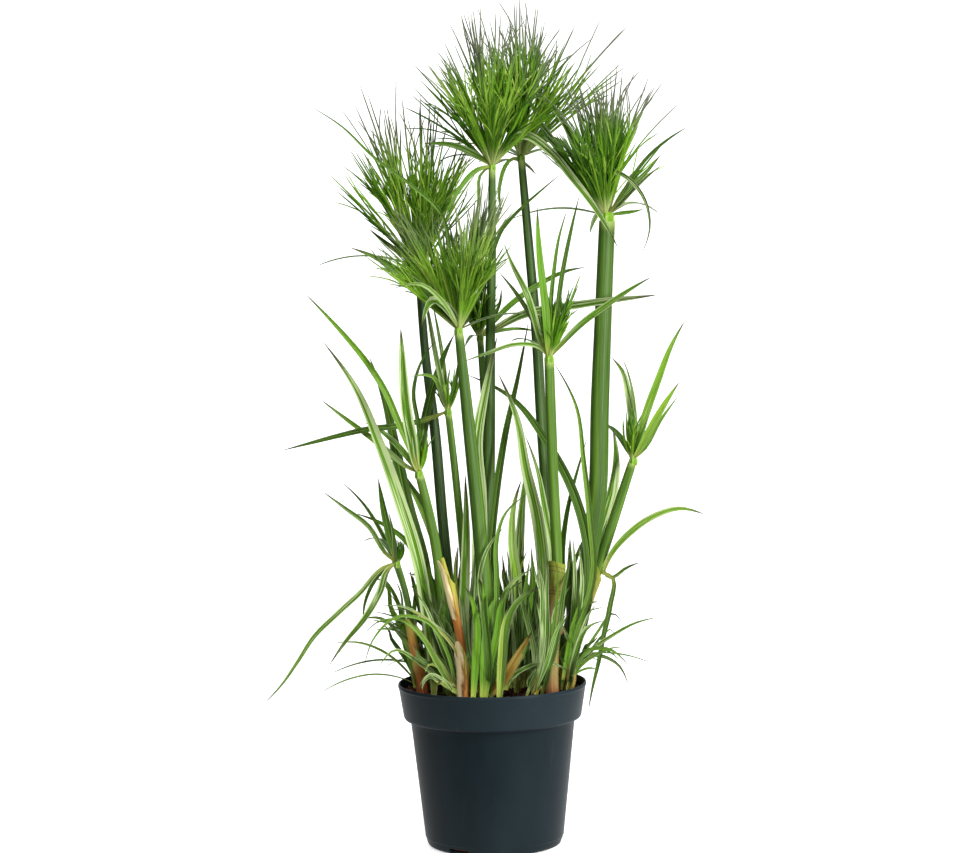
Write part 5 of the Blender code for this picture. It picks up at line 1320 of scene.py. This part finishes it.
def make_stage():
    """A pale floor that rises into a backdrop, no wider than the front view needs."""
    shape = bmesh.new()
    outline = [(FLOOR_START, 0.0), (FLOOR_END, 0.0)]
    for turn in np.linspace(0.1, math.pi / 2, 14):
        outline.append((FLOOR_END + FLOOR_BEND * math.sin(turn), FLOOR_BEND - FLOOR_BEND * math.cos(turn)))
    outline.append((FLOOR_END + FLOOR_BEND, BACKDROP_TOP))
    left = [shape.verts.new((-HALF_FLOOR[0] - HALF_FLOOR[1] * y, y, z)) for y, z in outline]
    right = [shape.verts.new((HALF_FLOOR[0] + HALF_FLOOR[1] * y, y, z)) for y, z in outline]
    for slot in range(len(outline) - 1):
        shape.faces.new((left[slot], right[slot], right[slot + 1], left[slot + 1]))
    mesh = take_mesh("backdrop", shape)
    mesh.shade_smooth()
    mesh.materials.append(backdrop_material())
    floor = new_object("backdrop", mesh)
    floor.location.z = -0.5 * MM


def make_surroundings():
    """White surroundings, brighter on the right."""
    world = bpy.data.worlds.new("studio")
    bpy.context.scene.world = world
    world.use_nodes = True
    nodes, links = world.node_tree.nodes, world.node_tree.links
    parts = nodes.new("ShaderNodeSeparateXYZ")
    links.new(nodes.new("ShaderNodeTexCoord").outputs["Generated"], parts.inputs[0])
    across = nodes.new("ShaderNodeMapRange")
    set_range(across, *SURROUNDINGS[0], *SURROUNDINGS[1])
    nodes["Background"].inputs[0].default_value = (1, 1, 1, 1)
    links.new(parts.outputs[0], across.inputs["Value"])
    links.new(across.outputs[0], nodes["Background"].inputs[1])


def make_light(name, place, aim, sides, power):
    """A soft rectangular light."""
    light = bpy.data.lights.new(name, "AREA")
    light.shape = "RECTANGLE"
    light.size, light.size_y = sides
    light.energy = power
    thing = new_object(name, light)
    thing.location = place
    thing.rotation_euler = (Vector(aim) - Vector(place)).to_track_quat("-Z", "Y").to_euler()


def make_camera():
    """The eye of the front view."""
    camera = bpy.data.cameras.new("camera")
    camera.sensor_width = SENSOR
    camera.lens = SENSOR * EYE_DISTANCE / FRAME_WIDTH
    thing = new_object("camera", camera)
    turn = Matrix((RIGHT, UP, -AHEAD)).transposed()
    thing.matrix_world = Matrix.Translation(Vector(EYE * MM)) @ turn.to_4x4()
    bpy.context.scene.camera = thing


# Everything

for leftover in list(bpy.data.objects):
    bpy.data.objects.remove(leftover, do_unlink=True)
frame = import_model()
slots = {row["node"]: row["material_slot"] for row in frame["record"]["subparts"]}

make_camera()
make_stage()
make_surroundings()
for row in LIGHTS:
    make_light(*row)
bpy.context.scene.view_settings.view_transform = "Standard"
bpy.context.scene.view_settings.look = "None"

leaf_look = leaf_material()
ray_look = ray_material()
stem_look = stem_material()
sheath_look = sheath_material()
make_pot(pot_material())
make_soil(soil_material())
for number in STEM_TONES:
    make_stem(number, stem_look)
    make_umbel(number, leaf_look, ray_look)
make_old_shoot(sheath_look)
for node in sorted(frame["nodes"]):
    if node.startswith("leaf"):
        make_leaf(node, leaf_look)
    elif node.startswith("tuft"):
        make_tuft(node, leaf_look)
for row in SLEEVES:
    make_sheath(*row, sheath_look, leaf_look)
